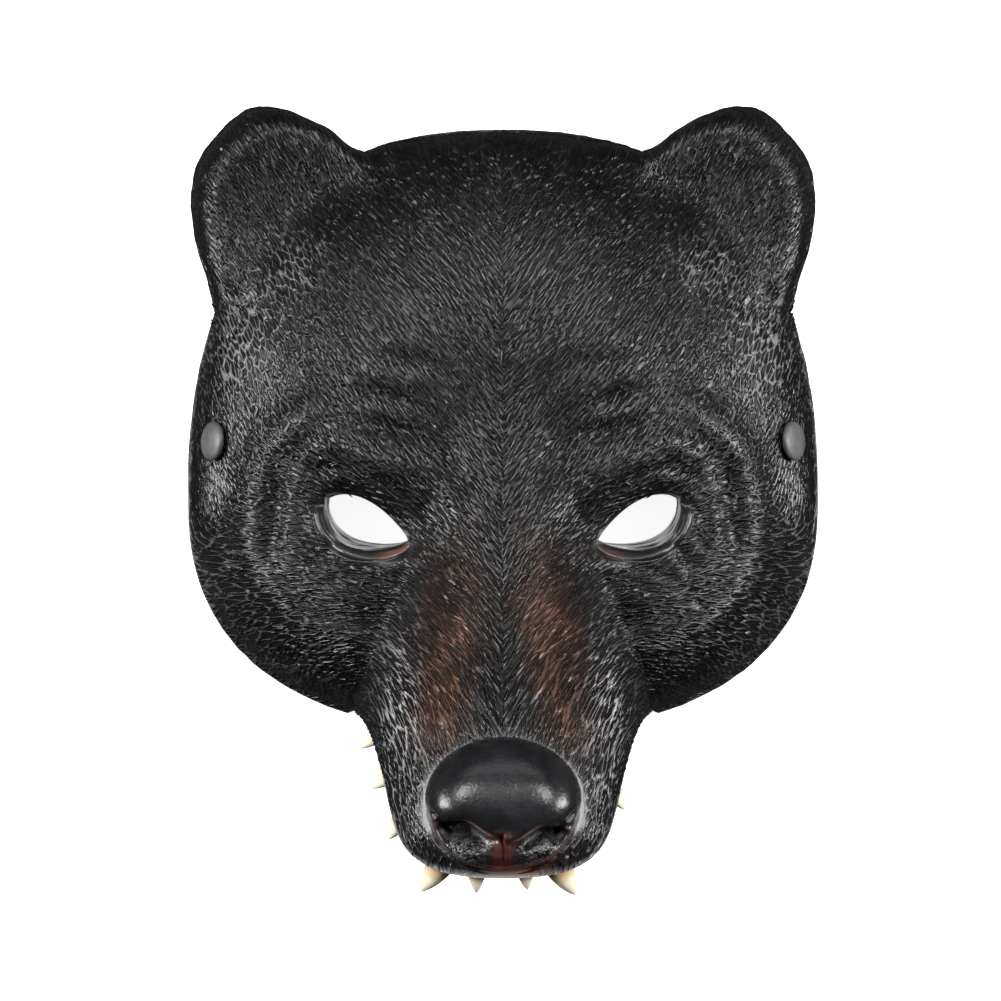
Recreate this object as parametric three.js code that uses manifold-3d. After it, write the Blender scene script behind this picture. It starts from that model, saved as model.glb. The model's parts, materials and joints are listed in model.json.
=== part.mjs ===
// Bear half mask: one moulded, hollow shell with ears, eye holes and muzzle, open under the upper jaw.
// It lies face up on its back rim. X runs across the face, Y up it and Z out of it, in millimetres.
import * as THREE from 'three';
import { mergeVertices } from 'three/addons/utils/BufferGeometryUtils.js';
import Module from 'manifold-3d';

// Head: the back rim is a rounded oval about the eye line, the dome rises from it.
const faceHalfWidth = 90;
const foreheadRise = 106;
const cheekDrop = 66;
const headDepth = 62;
const ovalPower = 2.4;
const domePower = 2.2;
const wall = 3;
const rimFlare = 1.2;
const fanCentreRise = 40;

// Muzzle: its crest runs from the brow to the lip, its open edge from the mouth corners to the lip.
const mouthCornerDrop = 61;
const lipDrop = 99.5;
const lipReach = 110;
const muzzleReach = 114;
const muzzleHalfWidth = 27;
const muzzleFlare = 0.29;
const muzzleBlend = 16;
const lipThickness = 7;
const lipDepth = 12;

// Nose pad, with its nostrils below the middle and a lobe under each.
const noseDrop = 80.5;
const noseHalfWidth = 20.5;
const noseHalfHeight = 17.5;
const noseSwell = 9;
const nostrilSpread = 10.6;
const nostrilDrop = 86.5;
const nostrilDepth = 6.5;
const nostrilLength = 5.6;
const nostrilHeight = 2.6;
const lobeDrop = 92.5;
const lobeSwell = 2.6;
const lobeRadius = 6;

// Ears: round shallow cups in the same sheet, with a raised outer fold.
const earSpread = faceHalfWidth * 0.689;
const earRise = foreheadRise * 0.7736;
const earRadius = 28.5;
const earFold = 31;
const earCup = 8;
const earBlend = 8;
const earEdgeLift = 6;

// Eyes: almond holes with their inner corners low, in a sunk socket under the brow.
const eyeSpread = 37.2;
const eyeDrop = 5.3;
const eyeTilt = 28;
const eyeHalfLength = 12.35;
const upperLidBow = 4.7;
const lowerLidBow = 6.4;
const socketDepth = 8;
const socketRadius = 16;
const lidSwell = 2;
const lidOffset = 4.2;
const browRise = 15;
const browSwell = 5;
const browLength = 19;
const browThickness = 7;
const cheekRingRadius = 34;
const cheekRingSwell = 2.6;
const cheekRingWidth = 5;
const socketRingRadius = 23;
const socketRingSwell = 1.8;
const socketRingWidth = 3.4;
const foreheadSwell = 3;
const foreheadBossSpread = 24;
const foreheadBossRise = 47;
const foreheadBossHalfWidth = 18;
const foreheadBossHalfHeight = 24;

// Teeth stand in sockets in the lip.
const toothLength = 10.5;
const toothWidth = 7;
const toothRoot = 3;
const seatGap = 0.3;

// Snap rivets at the temples, where the head band is fastened.
const rivetSpread = faceHalfWidth * 0.911;
const rivetRise = foreheadRise * 0.1557;
const capDiameter = 11;
const capHeight = 2.4;
const shankDiameter = 4;
const flangeDiameter = 9;
const flangeThickness = 1;
const capStandOff = 1.1;
const flangeStandOff = 1.6;

// Crest of the muzzle: how far up or down the face as a share of lipDrop, its height of muzzleReach.
const crestRows = [
  { rise: 0.6, height: 0.1 },
  { rise: 0.4, height: 0.33 },
  { rise: 0.2, height: 0.49 },
  { rise: 0.05, height: 0.575 },
  { rise: -0.1, height: 0.628 },
  { rise: -0.25, height: 0.7 },
  { rise: -0.4, height: 0.79 },
  { rise: -0.53, height: 0.88 },
  { rise: -0.64, height: 0.945 },
  { rise: -0.75, height: 0.99 },
  { rise: -0.88, height: 1 },
  { rise: -1, height: 0.965 },
];

// Ear outline from the forehead notch round to the temple: degrees about the ear, share of earRadius.
const earRows = [
  { angle: 132, radius: 0.905 },
  { angle: 116, radius: 0.925 },
  { angle: 99, radius: 0.972 },
  { angle: 83, radius: 1.06 },
  { angle: 70, radius: 1.105 },
  { angle: 60, radius: 1.075 },
  { angle: 47, radius: 1.035 },
  { angle: 30, radius: 1.01 },
  { angle: 11, radius: 0.955 },
  { angle: -5, radius: 0.925 },
  { angle: -22, radius: 0.945 },
  { angle: -38, radius: 1.005 },
];
const earNotchSide = 0.444;
const earNotchRise = 0.51;

// Teeth: share of the way from the mouth corner to the middle of the lip, and their length and width as
// shares of toothLength and toothWidth.
const toothRows = [
  { name: 'cheek_tooth_left_1', side: -1, way: 0.23, length: 0.714, width: 0.714, splay: 1.4 },
  { name: 'cheek_tooth_left_2', side: -1, way: 0.45, length: 0.714, width: 0.714, splay: 1.3 },
  { name: 'cheek_tooth_left_3', side: -1, way: 0.64, length: 0.762, width: 0.714, splay: 0.6 },
  { name: 'canine_left', side: -1, way: 0.86, length: 1.08, width: 1, splay: 0.6 },
  { name: 'incisor_left', side: -1, way: 0.945, length: 0.619, width: 0.657, splay: 0 },
  { name: 'incisor_right', side: 1, way: 0.955, length: 0.524, width: 0.6, splay: 0.1 },
  { name: 'canine_right', side: 1, way: 0.88, length: 1.04, width: 1, splay: 0.5 },
  { name: 'cheek_tooth_right_3', side: 1, way: 0.64, length: 0.714, width: 0.714, splay: 0.1 },
  { name: 'cheek_tooth_right_2', side: 1, way: 0.52, length: 0.762, width: 0.714, splay: 0.7 },
  { name: 'cheek_tooth_right_1', side: 1, way: 0.23, length: 0.714, width: 0.714, splay: 0.4 },
];

// How finely the shell is faceted.
const ringCount = 24;
const rimCounts = { forehead: 5, ear: 12, temple: 13, mouth: 9, lip: 7 };
const lipStart = 0.72;
const pathSteps = 240;

const clamp = THREE.MathUtils.clamp;
const lerp = THREE.MathUtils.lerp;
const radians = THREE.MathUtils.degToRad;
const bell = (distance) => Math.exp(-distance * distance);
const ease = (low, high, value) => THREE.MathUtils.smoothstep(value, low, high);

function smoothMax(first, second, blend) {
  if (blend <= 0) return Math.max(first, second);
  const share = clamp(0.5 + (first - second) / (2 * blend), 0, 1);
  return lerp(second, first, share) + blend * share * (1 - share);
}

// Smooth curve through the rows of a table, read at any value of its first column.
function readRows(rows, from, to, value) {
  const falling = rows[0][from] > rows[rows.length - 1][from];
  const ahead = rows.findIndex((row) => (falling ? row[from] <= value : row[from] >= value));
  const next = clamp(ahead < 0 ? rows.length - 1 : ahead, 1, rows.length - 1);
  const slope = (index) => {
    const low = rows[Math.max(index - 1, 0)];
    const high = rows[Math.min(index + 1, rows.length - 1)];
    return (high[to] - low[to]) / (high[from] - low[from]);
  };
  const start = rows[next - 1];
  const end = rows[next];
  const span = end[from] - start[from];
  const share = clamp((value - start[from]) / span, 0, 1);
  const square = share * share;
  const cube = square * share;
  return (
    (2 * cube - 3 * square + 1) * start[to] +
    (cube - 2 * square + share) * span * slope(next - 1) +
    (3 * square - 2 * cube) * end[to] +
    (cube - square) * span * slope(next)
  );
}

const ovalReach = (y) => (y > 0 ? foreheadRise : cheekDrop);

function ovalHalfWidth(y) {
  return faceHalfWidth * Math.pow(1 - Math.pow(Math.abs(y) / ovalReach(y), ovalPower), 1 / ovalPower);
}

function headHeight(x, y) {
  const across = Math.pow(Math.abs(x) / faceHalfWidth, ovalPower);
  const along = Math.pow(Math.abs(y) / ovalReach(y), ovalPower);
  return headDepth * Math.pow(Math.max(0, 1 - across - along), 1 / domePower);
}

const mouthCornerHalfWidth = ovalHalfWidth(-mouthCornerDrop);
const mouthShare = (y) => clamp((-y - mouthCornerDrop) / (lipDrop - mouthCornerDrop), 0, 1);
const mouthHeight = (share) => lipReach * Math.pow(share, 0.6);

function mouthHalfWidth(share) {
  const taper = lerp(mouthCornerHalfWidth, muzzleHalfWidth, Math.sqrt(share));
  return taper * Math.pow(1 - Math.pow(share, 8), 0.4);
}

function muzzleHeight(x, y) {
  const share = mouthShare(y);
  const flared = mouthCornerHalfWidth - (y + mouthCornerDrop) * muzzleFlare;
  const halfWidth = share > 0 ? mouthHalfWidth(share) : Math.max(flared, 1);
  const edge = mouthHeight(share);
  const crest = muzzleReach * readRows(crestRows, 'rise', 'height', y / lipDrop);
  const across = Math.min(1, Math.abs(x) / Math.max(halfWidth, 0.01));
  return edge + Math.max(0, crest - edge) * Math.sqrt(1 - Math.pow(across, 3));
}

function earHeight(x, y) {
  const out = Math.hypot(Math.abs(x) - earSpread, y - earRise) / earRadius;
  const cup = earCup * (1 - ease(0.25, 0.85, out));
  const edge = 0.12 * earFold * ease(0.85, 1.1, out);
  return (earFold - cup - edge) * (1 - ease(1.15, 1.6, out));
}

// Place in the frame of the eye on the same side: along the hole and above it.
function eyeFrame(x, y) {
  const turn = radians(eyeTilt);
  const right = Math.abs(x) - eyeSpread;
  const up = y + eyeDrop;
  return {
    along: right * Math.cos(turn) + up * Math.sin(turn),
    above: up * Math.cos(turn) - right * Math.sin(turn),
  };
}

// Soft forms of the face that both faces of the wall follow.
function softForms(x, y) {
  const eye = eyeFrame(x, y);
  const socket = socketDepth * bell(eye.along / socketRadius) * bell(eye.above / (socketRadius * 0.62));
  const brow = browSwell * bell(eye.along / browLength) * bell((eye.above - browRise) / browThickness);
  const bossX = (Math.abs(x) - foreheadBossSpread) / foreheadBossHalfWidth;
  const boss = foreheadSwell * bell(bossX) * bell((y - foreheadBossRise) / foreheadBossHalfHeight);
  return brow + boss - socket;
}

// Small forms on the outer face only.
function fineForms(x, y) {
  const eye = eyeFrame(x, y);
  const around = Math.hypot(Math.abs(x) - eyeSpread, y + eyeDrop);
  const outward = ease(-0.3, 0.5, (Math.abs(x) - eyeSpread - 0.3 * (y + eyeDrop)) / around);
  const ring = cheekRingSwell * bell((around - cheekRingRadius) / cheekRingWidth) * outward;
  const innerRing = socketRingSwell * bell((around - socketRingRadius) / socketRingWidth) * outward;
  const lidBow = eye.above > 0 ? upperLidBow : lowerLidBow;
  const lidOut = Math.hypot(eye.along / (eyeHalfLength + lidOffset), eye.above / (lidBow + lidOffset));
  const lid = lidSwell * bell((lidOut - 1) / 0.3);
  return ring + innerRing + lid + noseForms(x, y);
}

function noseForms(x, y) {
  const out = Math.hypot(x / noseHalfWidth, (y + noseDrop) / noseHalfHeight);
  const pad = noseSwell * Math.pow(Math.max(0, 1 - Math.pow(out, 3)), 0.7);
  const nostrilX = (Math.abs(x) - nostrilSpread) / nostrilLength;
  const nostrilY = (y + nostrilDrop - 0.22 * (Math.abs(x) - nostrilSpread)) / nostrilHeight;
  const nostril = nostrilDepth * bell(nostrilX) * bell(nostrilY);
  const lobe = lobeSwell * bell(Math.hypot(Math.abs(x) - nostrilSpread, y + lobeDrop) / lobeRadius);
  return pad - nostril + lobe;
}

// Rim of the sheet, from the middle of the forehead round the right side to the middle of the lip.
function evenPoints(path, count) {
  const fine = Array.from({ length: pathSteps + 1 }, (_, step) => path(step / pathSteps));
  const ways = fine.map(() => 0);
  for (let step = 1; step < fine.length; step += 1) {
    ways[step] = ways[step - 1] + fine[step].distanceTo(fine[step - 1]);
  }
  return Array.from({ length: count }, (_, index) => {
    const way = (ways[ways.length - 1] * index) / count;
    const next = clamp(ways.findIndex((reached) => reached > way), 1, fine.length - 1);
    const share = (way - ways[next - 1]) / (ways[next] - ways[next - 1]);
    return fine[next - 1].clone().lerp(fine[next], share);
  });
}

const notchX = faceHalfWidth * earNotchSide;
const notchTop = foreheadRise * Math.pow(1 - Math.pow(earNotchSide, ovalPower), 1 / ovalPower);
const notchY = foreheadRise * earNotchRise;

function foreheadPath(share) {
  const x = notchX * share;
  return new THREE.Vector3(
    x,
    foreheadRise * Math.pow(1 - Math.pow(x / faceHalfWidth, ovalPower), 1 / ovalPower),
    0,
  );
}

const earPoints = [
  new THREE.Vector3(notchX, notchTop, 0),
  ...earRows.map(({ angle, radius }, index) => {
    const lift = earEdgeLift * Math.sin((Math.PI * (index + 1)) / (earRows.length + 1));
    return new THREE.Vector3(
      earSpread + radius * earRadius * Math.cos(radians(angle)),
      earRise + radius * earRadius * Math.sin(radians(angle)),
      lift,
    );
  }),
  new THREE.Vector3(ovalHalfWidth(notchY), notchY, 0),
];
const earCurve = new THREE.CatmullRomCurve3(earPoints, false, 'centripetal');

function templePath(share) {
  const start = Math.asin(notchY / foreheadRise);
  const end = -Math.asin(mouthCornerDrop / cheekDrop);
  const turn = lerp(start, end, share);
  const y = Math.sin(turn) * ovalReach(turn);
  return new THREE.Vector3(ovalHalfWidth(y), y, 0);
}

function mouthPath(share) {
  const way = 1 - Math.pow(1 - share, 2);
  const y = -lerp(mouthCornerDrop, lipDrop, way);
  return new THREE.Vector3(mouthHalfWidth(way), y, mouthHeight(way));
}

function rimRays(counts) {
  const parts = [
    { path: foreheadPath, count: counts.forehead, edgePower: 40, mouth: false },
    { path: (share) => earCurve.getPoint(share), count: counts.ear, edgePower: 14, mouth: false },
    { path: templePath, count: counts.temple, edgePower: 40, mouth: false },
    { path: (share) => mouthPath(share * lipStart), count: counts.mouth, edgePower: 40, mouth: true },
    { path: (share) => mouthPath(lerp(lipStart, 1, share)), count: counts.lip, edgePower: 40, mouth: true },
  ];
  const right = parts.flatMap(({ path, count, edgePower, mouth }) =>
    evenPoints(path, count).map((end) => ({ end, edgePower, mouth })),
  );
  right.push({ end: new THREE.Vector3(0, -lipDrop, lipReach), edgePower: 40, mouth: true });
  const left = right.slice(1, -1).reverse().map(({ end, edgePower, mouth }) => ({
    end: new THREE.Vector3(-end.x, end.y, end.z),
    edgePower,
    mouth,
  }));
  const rays = [...right, ...left];
  return rays.map((ray, index) => {
    const next = rays[(index + 1) % rays.length].end;
    const last = rays[(index + rays.length - 1) % rays.length].end;
    const outward = new THREE.Vector3(last.y - next.y, next.x - last.x, 0).normalize();
    return { ...ray, outward };
  });
}

// A point of the outer face, at a share of the way from the middle of the forehead to the rim.
function facePoint(ray, share, fine) {
  const x = ray.end.x * share;
  const y = lerp(fanCentreRise, ray.end.y, share);
  const blend = muzzleBlend * ease(-cheekDrop, -cheekDrop / 2, y);
  const head = smoothMax(headHeight(x, y), muzzleHeight(x, y), blend);
  const covered = y > 0 ? smoothMax(head, earHeight(x, y), earBlend) : head;
  const fade = 1 - Math.pow(share, 12);
  const forms = (softForms(x, y) + (fine ? fineForms(x, y) : 0)) * fade;
  const edge = Math.sqrt(1 - Math.pow(share, ray.edgePower));
  const point = new THREE.Vector3(x, y, ray.end.z + (covered + forms - ray.end.z) * edge);
  const flare = ray.mouth ? 0 : rimFlare * ease(0.995, 1, share);
  return point.addScaledVector(ray.outward, flare);
}

const ringShare = (index) => 1 - Math.pow(1 - index / ringCount, 2);

function faceGrid(rays, fine) {
  const rings = Array.from({ length: ringCount }, (_, index) =>
    rays.map((ray) => facePoint(ray, ringShare(index + 1), fine)),
  );
  return { centre: facePoint(rays[0], 0, fine), rings };
}

// Inner face: the smooth outer face moved in by the wall, which is thicker along the lip.
function innerGrid(rays, outer) {
  const count = rays.length;
  const at = (ring, ray) => (ring < 0 ? outer.centre : outer.rings[ring][(ray + count) % count]);
  const rings = outer.rings.map((ring, index) =>
    ring.map((point, ray) => {
      const around = at(index, ray + 1).clone().sub(at(index, ray - 1));
      const outwards = at(Math.min(index + 1, ringCount - 1), ray).clone().sub(at(index - 1, ray));
      const normal = outwards.cross(around).normalize();
      if (normal.z < 0) normal.negate();
      const atRim = index === ringCount - 1;
      if (atRim && !rays[ray].mouth) normal.setZ(0).normalize();
      const fromEdge = rays[ray].end.distanceTo(point);
      const lip = rays[ray].mouth ? bell(fromEdge / lipDepth) * ease(0, 0.12, mouthShare(rays[ray].end.y)) : 0;
      const thick = lerp(wall, lipThickness, lip);
      const inner = point.clone().addScaledVector(normal, -thick);
      if (rays[ray].end.z === 0 || inner.z < 0) inner.z = Math.max(inner.z, atRim ? 0 : 0.2);
      return inner;
    }),
  );
  const centre = outer.centre.clone();
  centre.z -= wall;
  return { centre, rings };
}

function shellGeometry() {
  const rays = rimRays(rimCounts);
  const outer = faceGrid(rays, true);
  const inner = innerGrid(rays, faceGrid(rays, false));
  const count = rays.length;
  const half = 1 + ringCount * count;
  const points = [outer, inner].flatMap((grid) => [grid.centre, ...grid.rings.flat()]);
  const at = (side, ring, ray) => side * half + 1 + ring * count + (ray % count);
  const faces = [];
  const addQuad = (a, b, c, d) => {
    if (points[a].distanceTo(points[c]) < points[b].distanceTo(points[d])) faces.push(a, b, c, a, c, d);
    else faces.push(b, c, d, b, d, a);
  };
  for (let ray = 0; ray < count; ray += 1) {
    faces.push(0, at(0, 0, ray + 1), at(0, 0, ray));
    faces.push(half, at(1, 0, ray), at(1, 0, ray + 1));
    for (let ring = 0; ring < ringCount - 1; ring += 1) {
      addQuad(at(0, ring, ray), at(0, ring, ray + 1), at(0, ring + 1, ray + 1), at(0, ring + 1, ray));
      addQuad(at(1, ring, ray), at(1, ring + 1, ray), at(1, ring + 1, ray + 1), at(1, ring, ray + 1));
    }
    const rim = ringCount - 1;
    addQuad(at(0, rim, ray), at(0, rim, ray + 1), at(1, rim, ray + 1), at(1, rim, ray));
  }
  const geometry = new THREE.BufferGeometry();
  const positions = points.flatMap((point) => point.toArray());
  geometry.setAttribute('position', new THREE.Float32BufferAttribute(positions, 3));
  geometry.setIndex(faces);
  return geometry;
}

// Almond outline of an eye hole, as a prism along Z through the wall.
function eyeCutter(side) {
  const steps = 12;
  const lid = (bow, lean, from) =>
    Array.from({ length: steps }, (_, index) => {
      const along = from * (1 - (2 * index) / steps);
      const above = bow * Math.pow(1 - along * along, 0.75) * (1 + lean * along);
      return new THREE.Vector2(along * eyeHalfLength, above);
    });
  const turn = radians(eyeTilt);
  const outline = [...lid(upperLidBow, 0.1, 1), ...lid(-lowerLidBow, 0.3, -1)];
  const placed = outline.map(({ x, y }) =>
    new THREE.Vector2(
      side * (eyeSpread + x * Math.cos(turn) - y * Math.sin(turn)),
      -eyeDrop + x * Math.sin(turn) + y * Math.cos(turn),
    ),
  );
  const geometry = new THREE.ExtrudeGeometry(new THREE.Shape(placed), {
    depth: headDepth,
    bevelEnabled: false,
  });
  geometry.translate(0, 0, headDepth / 3);
  return geometry;
}

// Where a rivet sits: a point of the smooth outer face and the direction out of it.
function rivetSeat(side) {
  const step = 0.5;
  const height = (x, y) => headHeight(x, y) + softForms(x, y);
  const slopeX = (height(rivetSpread + step, rivetRise) - height(rivetSpread - step, rivetRise)) / (2 * step);
  const slopeY = (height(rivetSpread, rivetRise + step) - height(rivetSpread, rivetRise - step)) / (2 * step);
  return {
    point: new THREE.Vector3(side * rivetSpread, rivetRise, height(rivetSpread, rivetRise)),
    axis: new THREE.Vector3(-side * slopeX, -slopeY, 1).normalize(),
    face: new THREE.Vector3(0, 1, 0),
  };
}

// Sets a mesh whose own Y axis is to point along a direction, with its Z axis as near to another as it can be.
function place(mesh, { point, axis, face }) {
  const across = axis.clone().cross(face).normalize();
  mesh.position.copy(point);
  mesh.quaternion.setFromRotationMatrix(
    new THREE.Matrix4().makeBasis(across, axis, across.clone().cross(axis)),
  );
  return mesh;
}

function lathe(profile, sides) {
  return new THREE.LatheGeometry(profile.map(([radius, height]) => new THREE.Vector2(radius, height)), sides);
}

function rivetGeometry() {
  const cap = capDiameter / 2;
  const shank = shankDiameter / 2;
  const flange = flangeDiameter / 2;
  const inside = -(wall + flangeStandOff);
  return lathe(
    [
      [0, inside - flangeThickness],
      [flange * 0.8, inside - flangeThickness],
      [flange, inside - flangeThickness / 2],
      [flange, inside],
      [shank, inside],
      [shank, capStandOff],
      [cap * 0.94, capStandOff],
      [cap, capStandOff + capHeight * 0.3],
      [cap * 0.86, capStandOff + capHeight * 0.72],
      [cap * 0.5, capStandOff + capHeight * 0.95],
      [0, capStandOff + capHeight],
    ],
    16,
  );
}

function toothGeometry(row, extra) {
  const length = row.length * toothLength;
  const radius = (row.width * toothWidth) / 2 + extra;
  const profile = [
    [0, -extra],
    [radius * 0.82, -extra],
    [radius, toothRoot],
    [radius * 0.84, toothRoot + length * 0.3],
    [radius * 0.55, toothRoot + length * 0.68],
    [radius * 0.2, toothRoot + length * 0.94],
    [0, toothRoot + length],
  ];
  const geometry = lathe(profile, 8);
  geometry.scale(1, 1, 0.8);
  return geometry;
}

// A tooth stands on the edge of the lip, midway through its thickness, and its root goes back into the lip.
function toothSeat({ side, way, splay }) {
  const fine = 200;
  const points = evenPoints(mouthPath, fine);
  const index = Math.round(way * fine);
  const end = points[index];
  const tangent = points[Math.min(index + 1, fine - 1)].clone().sub(points[index - 1]).normalize();
  const ray = { end, edgePower: 40, mouth: true, outward: new THREE.Vector3() };
  const down = end.clone().sub(facePoint(ray, 0.97, false));
  down.addScaledVector(tangent, -down.dot(tangent)).normalize();
  const inward = tangent.clone().cross(down).normalize();
  if (inward.z > 0) inward.negate();
  const axis = down.clone();
  axis.x += splay;
  axis.normalize();
  const point = end.clone().addScaledVector(inward, lipThickness / 2).addScaledVector(axis, -toothRoot);
  for (const vector of [point, axis, inward]) vector.x *= side;
  return { point, axis, face: inward };
}

const wasm = await Module();
wasm.setup();

function solidOf(mesh) {
  mesh.updateMatrixWorld(true);
  const geometry = mesh.geometry.clone().applyMatrix4(mesh.matrixWorld);
  geometry.deleteAttribute('normal');
  geometry.deleteAttribute('uv');
  const merged = mergeVertices(geometry, 1e-4);
  return new wasm.Manifold(
    new wasm.Mesh({
      numProp: 3,
      vertProperties: merged.attributes.position.array,
      triVerts: new Uint32Array(merged.index.array),
    }),
  );
}

function geometryOf(solid) {
  const { vertProperties, triVerts } = solid.getMesh();
  const geometry = new THREE.BufferGeometry();
  geometry.setAttribute('position', new THREE.BufferAttribute(vertProperties, 3));
  geometry.setIndex(new THREE.BufferAttribute(triVerts, 1));
  geometry.computeVertexNormals();
  return geometry;
}

const shellMaterial = new THREE.MeshStandardMaterial({ color: 0x202022, roughness: 0.5, metalness: 0 });
const toothMaterial = new THREE.MeshStandardMaterial({ color: 0xe4dcc0, roughness: 0.4, metalness: 0 });
const rivetMaterial = new THREE.MeshStandardMaterial({ color: 0x6f7072, roughness: 0.45, metalness: 0.2 });

function named(name, geometry, material) {
  const mesh = new THREE.Mesh(geometry, material);
  mesh.name = name;
  return mesh;
}

const group = new THREE.Group();

const teeth = toothRows.map((row) =>
  place(named(row.name, toothGeometry(row, 0), toothMaterial), toothSeat(row)),
);
const toothSockets = toothRows.map((row) =>
  place(new THREE.Mesh(toothGeometry(row, seatGap)), toothSeat(row)),
);
const rivets = [-1, 1].map((side) =>
  place(named(side < 0 ? 'rivet_left' : 'rivet_right', rivetGeometry(), rivetMaterial), rivetSeat(side)),
);
const holeRadius = shankDiameter / 2 + seatGap;
const rivetHoles = [-1, 1].map((side) =>
  place(new THREE.Mesh(new THREE.CylinderGeometry(holeRadius, holeRadius, wall * 6, 16)), rivetSeat(side)),
);
const eyeCutters = [-1, 1].map((side) => new THREE.Mesh(eyeCutter(side)));

let shell = solidOf(new THREE.Mesh(shellGeometry()));
for (const cutter of [...eyeCutters, ...rivetHoles, ...toothSockets]) shell = shell.subtract(solidOf(cutter));

group.add(named('mask_shell', geometryOf(shell), shellMaterial), ...rivets, ...teeth);

const box = new THREE.Box3().setFromObject(group, true);
const middle = box.getCenter(new THREE.Vector3());
group.position.set(-middle.x, -middle.y, -box.min.z);

export default group;
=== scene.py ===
import json
import math

import bmesh
import bpy
import numpy as np
from mathutils import Matrix, Vector, kdtree

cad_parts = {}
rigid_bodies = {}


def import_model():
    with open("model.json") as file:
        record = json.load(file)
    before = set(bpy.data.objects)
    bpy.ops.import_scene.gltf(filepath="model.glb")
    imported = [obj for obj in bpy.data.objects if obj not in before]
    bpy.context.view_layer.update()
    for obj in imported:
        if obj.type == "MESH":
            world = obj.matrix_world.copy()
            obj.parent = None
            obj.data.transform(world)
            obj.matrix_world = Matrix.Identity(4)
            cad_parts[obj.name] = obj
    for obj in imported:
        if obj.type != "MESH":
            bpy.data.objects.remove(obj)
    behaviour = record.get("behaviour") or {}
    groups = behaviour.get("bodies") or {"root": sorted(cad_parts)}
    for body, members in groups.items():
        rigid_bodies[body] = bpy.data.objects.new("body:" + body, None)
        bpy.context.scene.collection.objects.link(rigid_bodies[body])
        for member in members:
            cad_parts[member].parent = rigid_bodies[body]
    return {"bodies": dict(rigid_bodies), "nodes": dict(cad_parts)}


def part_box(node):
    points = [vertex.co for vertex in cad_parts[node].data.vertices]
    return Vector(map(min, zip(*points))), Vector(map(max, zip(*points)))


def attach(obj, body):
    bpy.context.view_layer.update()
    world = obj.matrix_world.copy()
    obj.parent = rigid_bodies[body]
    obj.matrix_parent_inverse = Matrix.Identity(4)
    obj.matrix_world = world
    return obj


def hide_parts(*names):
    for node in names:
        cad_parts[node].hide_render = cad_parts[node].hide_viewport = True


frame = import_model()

known = set(frame["nodes"].values()) | set(frame["bodies"].values())
for leftover in [thing for thing in bpy.data.objects if thing not in known]:
    if leftover.type in {"CAMERA", "LIGHT"} or leftover.name == "Cube":
        bpy.data.objects.remove(leftover)
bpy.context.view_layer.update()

MM = 0.001

# Head, muzzle and ears
FACE_HALF_WIDTH = 90.0
FOREHEAD_RISE = 106.0
CHEEK_DROP = 66.0
HEAD_DEPTH = 62.0
OVAL_POWER = 2.4
DOME_POWER = 2.2
WALL = 3.0
RIM_FLARE = 1.2
FAN_CENTRE_RISE = 40.0
MOUTH_CORNER_DROP = 61.0
LIP_DROP = 99.5
LIP_REACH = 110.0
MUZZLE_REACH = 114.0
MUZZLE_HALF_WIDTH = 27.0
MUZZLE_FLARE = 0.29
MUZZLE_BLEND = 16.0
LIP_THICKNESS = 7.0
LIP_DEPTH = 12.0
# Width of the lighter rim edge: wear with a painted highlight
WORN_AND_HIGHLIGHT_WIDTH = 1.1
EAR_SPREAD = 62.0
EAR_RISE = 82.0
EAR_RADIUS = 28.5
EAR_FOLD = 31.0
EAR_CUP = 4.0
EAR_BLEND = 8.0
EAR_EDGE_LIFT = 6.0
EAR_NOTCH_SIDE = 0.444
EAR_NOTCH_RISE = 0.51

# Nose pad
NOSE_DROP = 80.5
NOSE_HALF_WIDTH = 20.5
NOSE_HALF_HEIGHT = 17.5
NOSE_SWELL = 9.0
NOSE_BED = 2.3
NOSE_EDGE = 1.06
NOSE_EDGE_SINK = 0.35
NOSE_RINGS = 92
NOSE_SIDES = 240
PAD_DROP = 79.0
PAD_HALF_WIDTH = 20.6
PAD_RISE = 16.4
PAD_FALL = 12.4
PAD_HOLLOW = 0.6
FRONT_SWELL = 3.3
BRIM_MIDDLE_DROP = 87.9
BRIM_SIDE_DROP = 83.6
BRIM_UNEVENNESS = 1.4
BRIM_RIM_SWELL = 0.55
NOSTRIL_SPREAD = 10.2
NOSTRIL_REACH = 6.6
NOSTRIL_DEPTH = 6.4
SLIT_DEPTH = 2.3
LOBE_SPREAD = 9.8
LOBE_DROP = 91.8
LOBE_SWELL = 3.2
SEPTUM_HALF_WIDTH = 2.7
SEPTUM_SWELL = 2.6
NOSE_GROOVE_DEPTH = 1.7
NOSE_LIP_SWELL = 0.8

# Eyes
EYE_SPREAD = 37.2
EYE_DROP = 5.3
EYE_TILT = math.radians(28)
EYE_HALF_LENGTH = 12.35
UPPER_LID_BOW = 4.3
LOWER_LID_BOW = 6.4
SOCKET_DEPTH = 8.0
SOCKET_RADIUS = 16.0
LID_SWELL = 2.0
LID_OFFSET = 4.2
BROW_RISE = 15.0
BROW_SWELL = 5.0
BROW_LENGTH = 19.0
CHEEK_RING_RADIUS = 34.0
CHEEK_RING_SWELL = 3.2
SOCKET_RING_RADIUS = 23.0
SOCKET_RING_SWELL = 1.6
FOREHEAD_SWELL = 3.0
FOREHEAD_BOSS_SPREAD = 24.0
FOREHEAD_BOSS_RISE = 47.0

# Crest of the muzzle: rise as a share of LIP_DROP, height as a share of MUZZLE_REACH
CREST_ROWS = [
    (0.6, 0.1), (0.4, 0.33), (0.2, 0.49), (0.05, 0.575), (-0.1, 0.628), (-0.25, 0.7),
    (-0.4, 0.79), (-0.53, 0.88), (-0.64, 0.945), (-0.75, 0.99), (-0.88, 1.0), (-1.0, 0.965),
]
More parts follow.
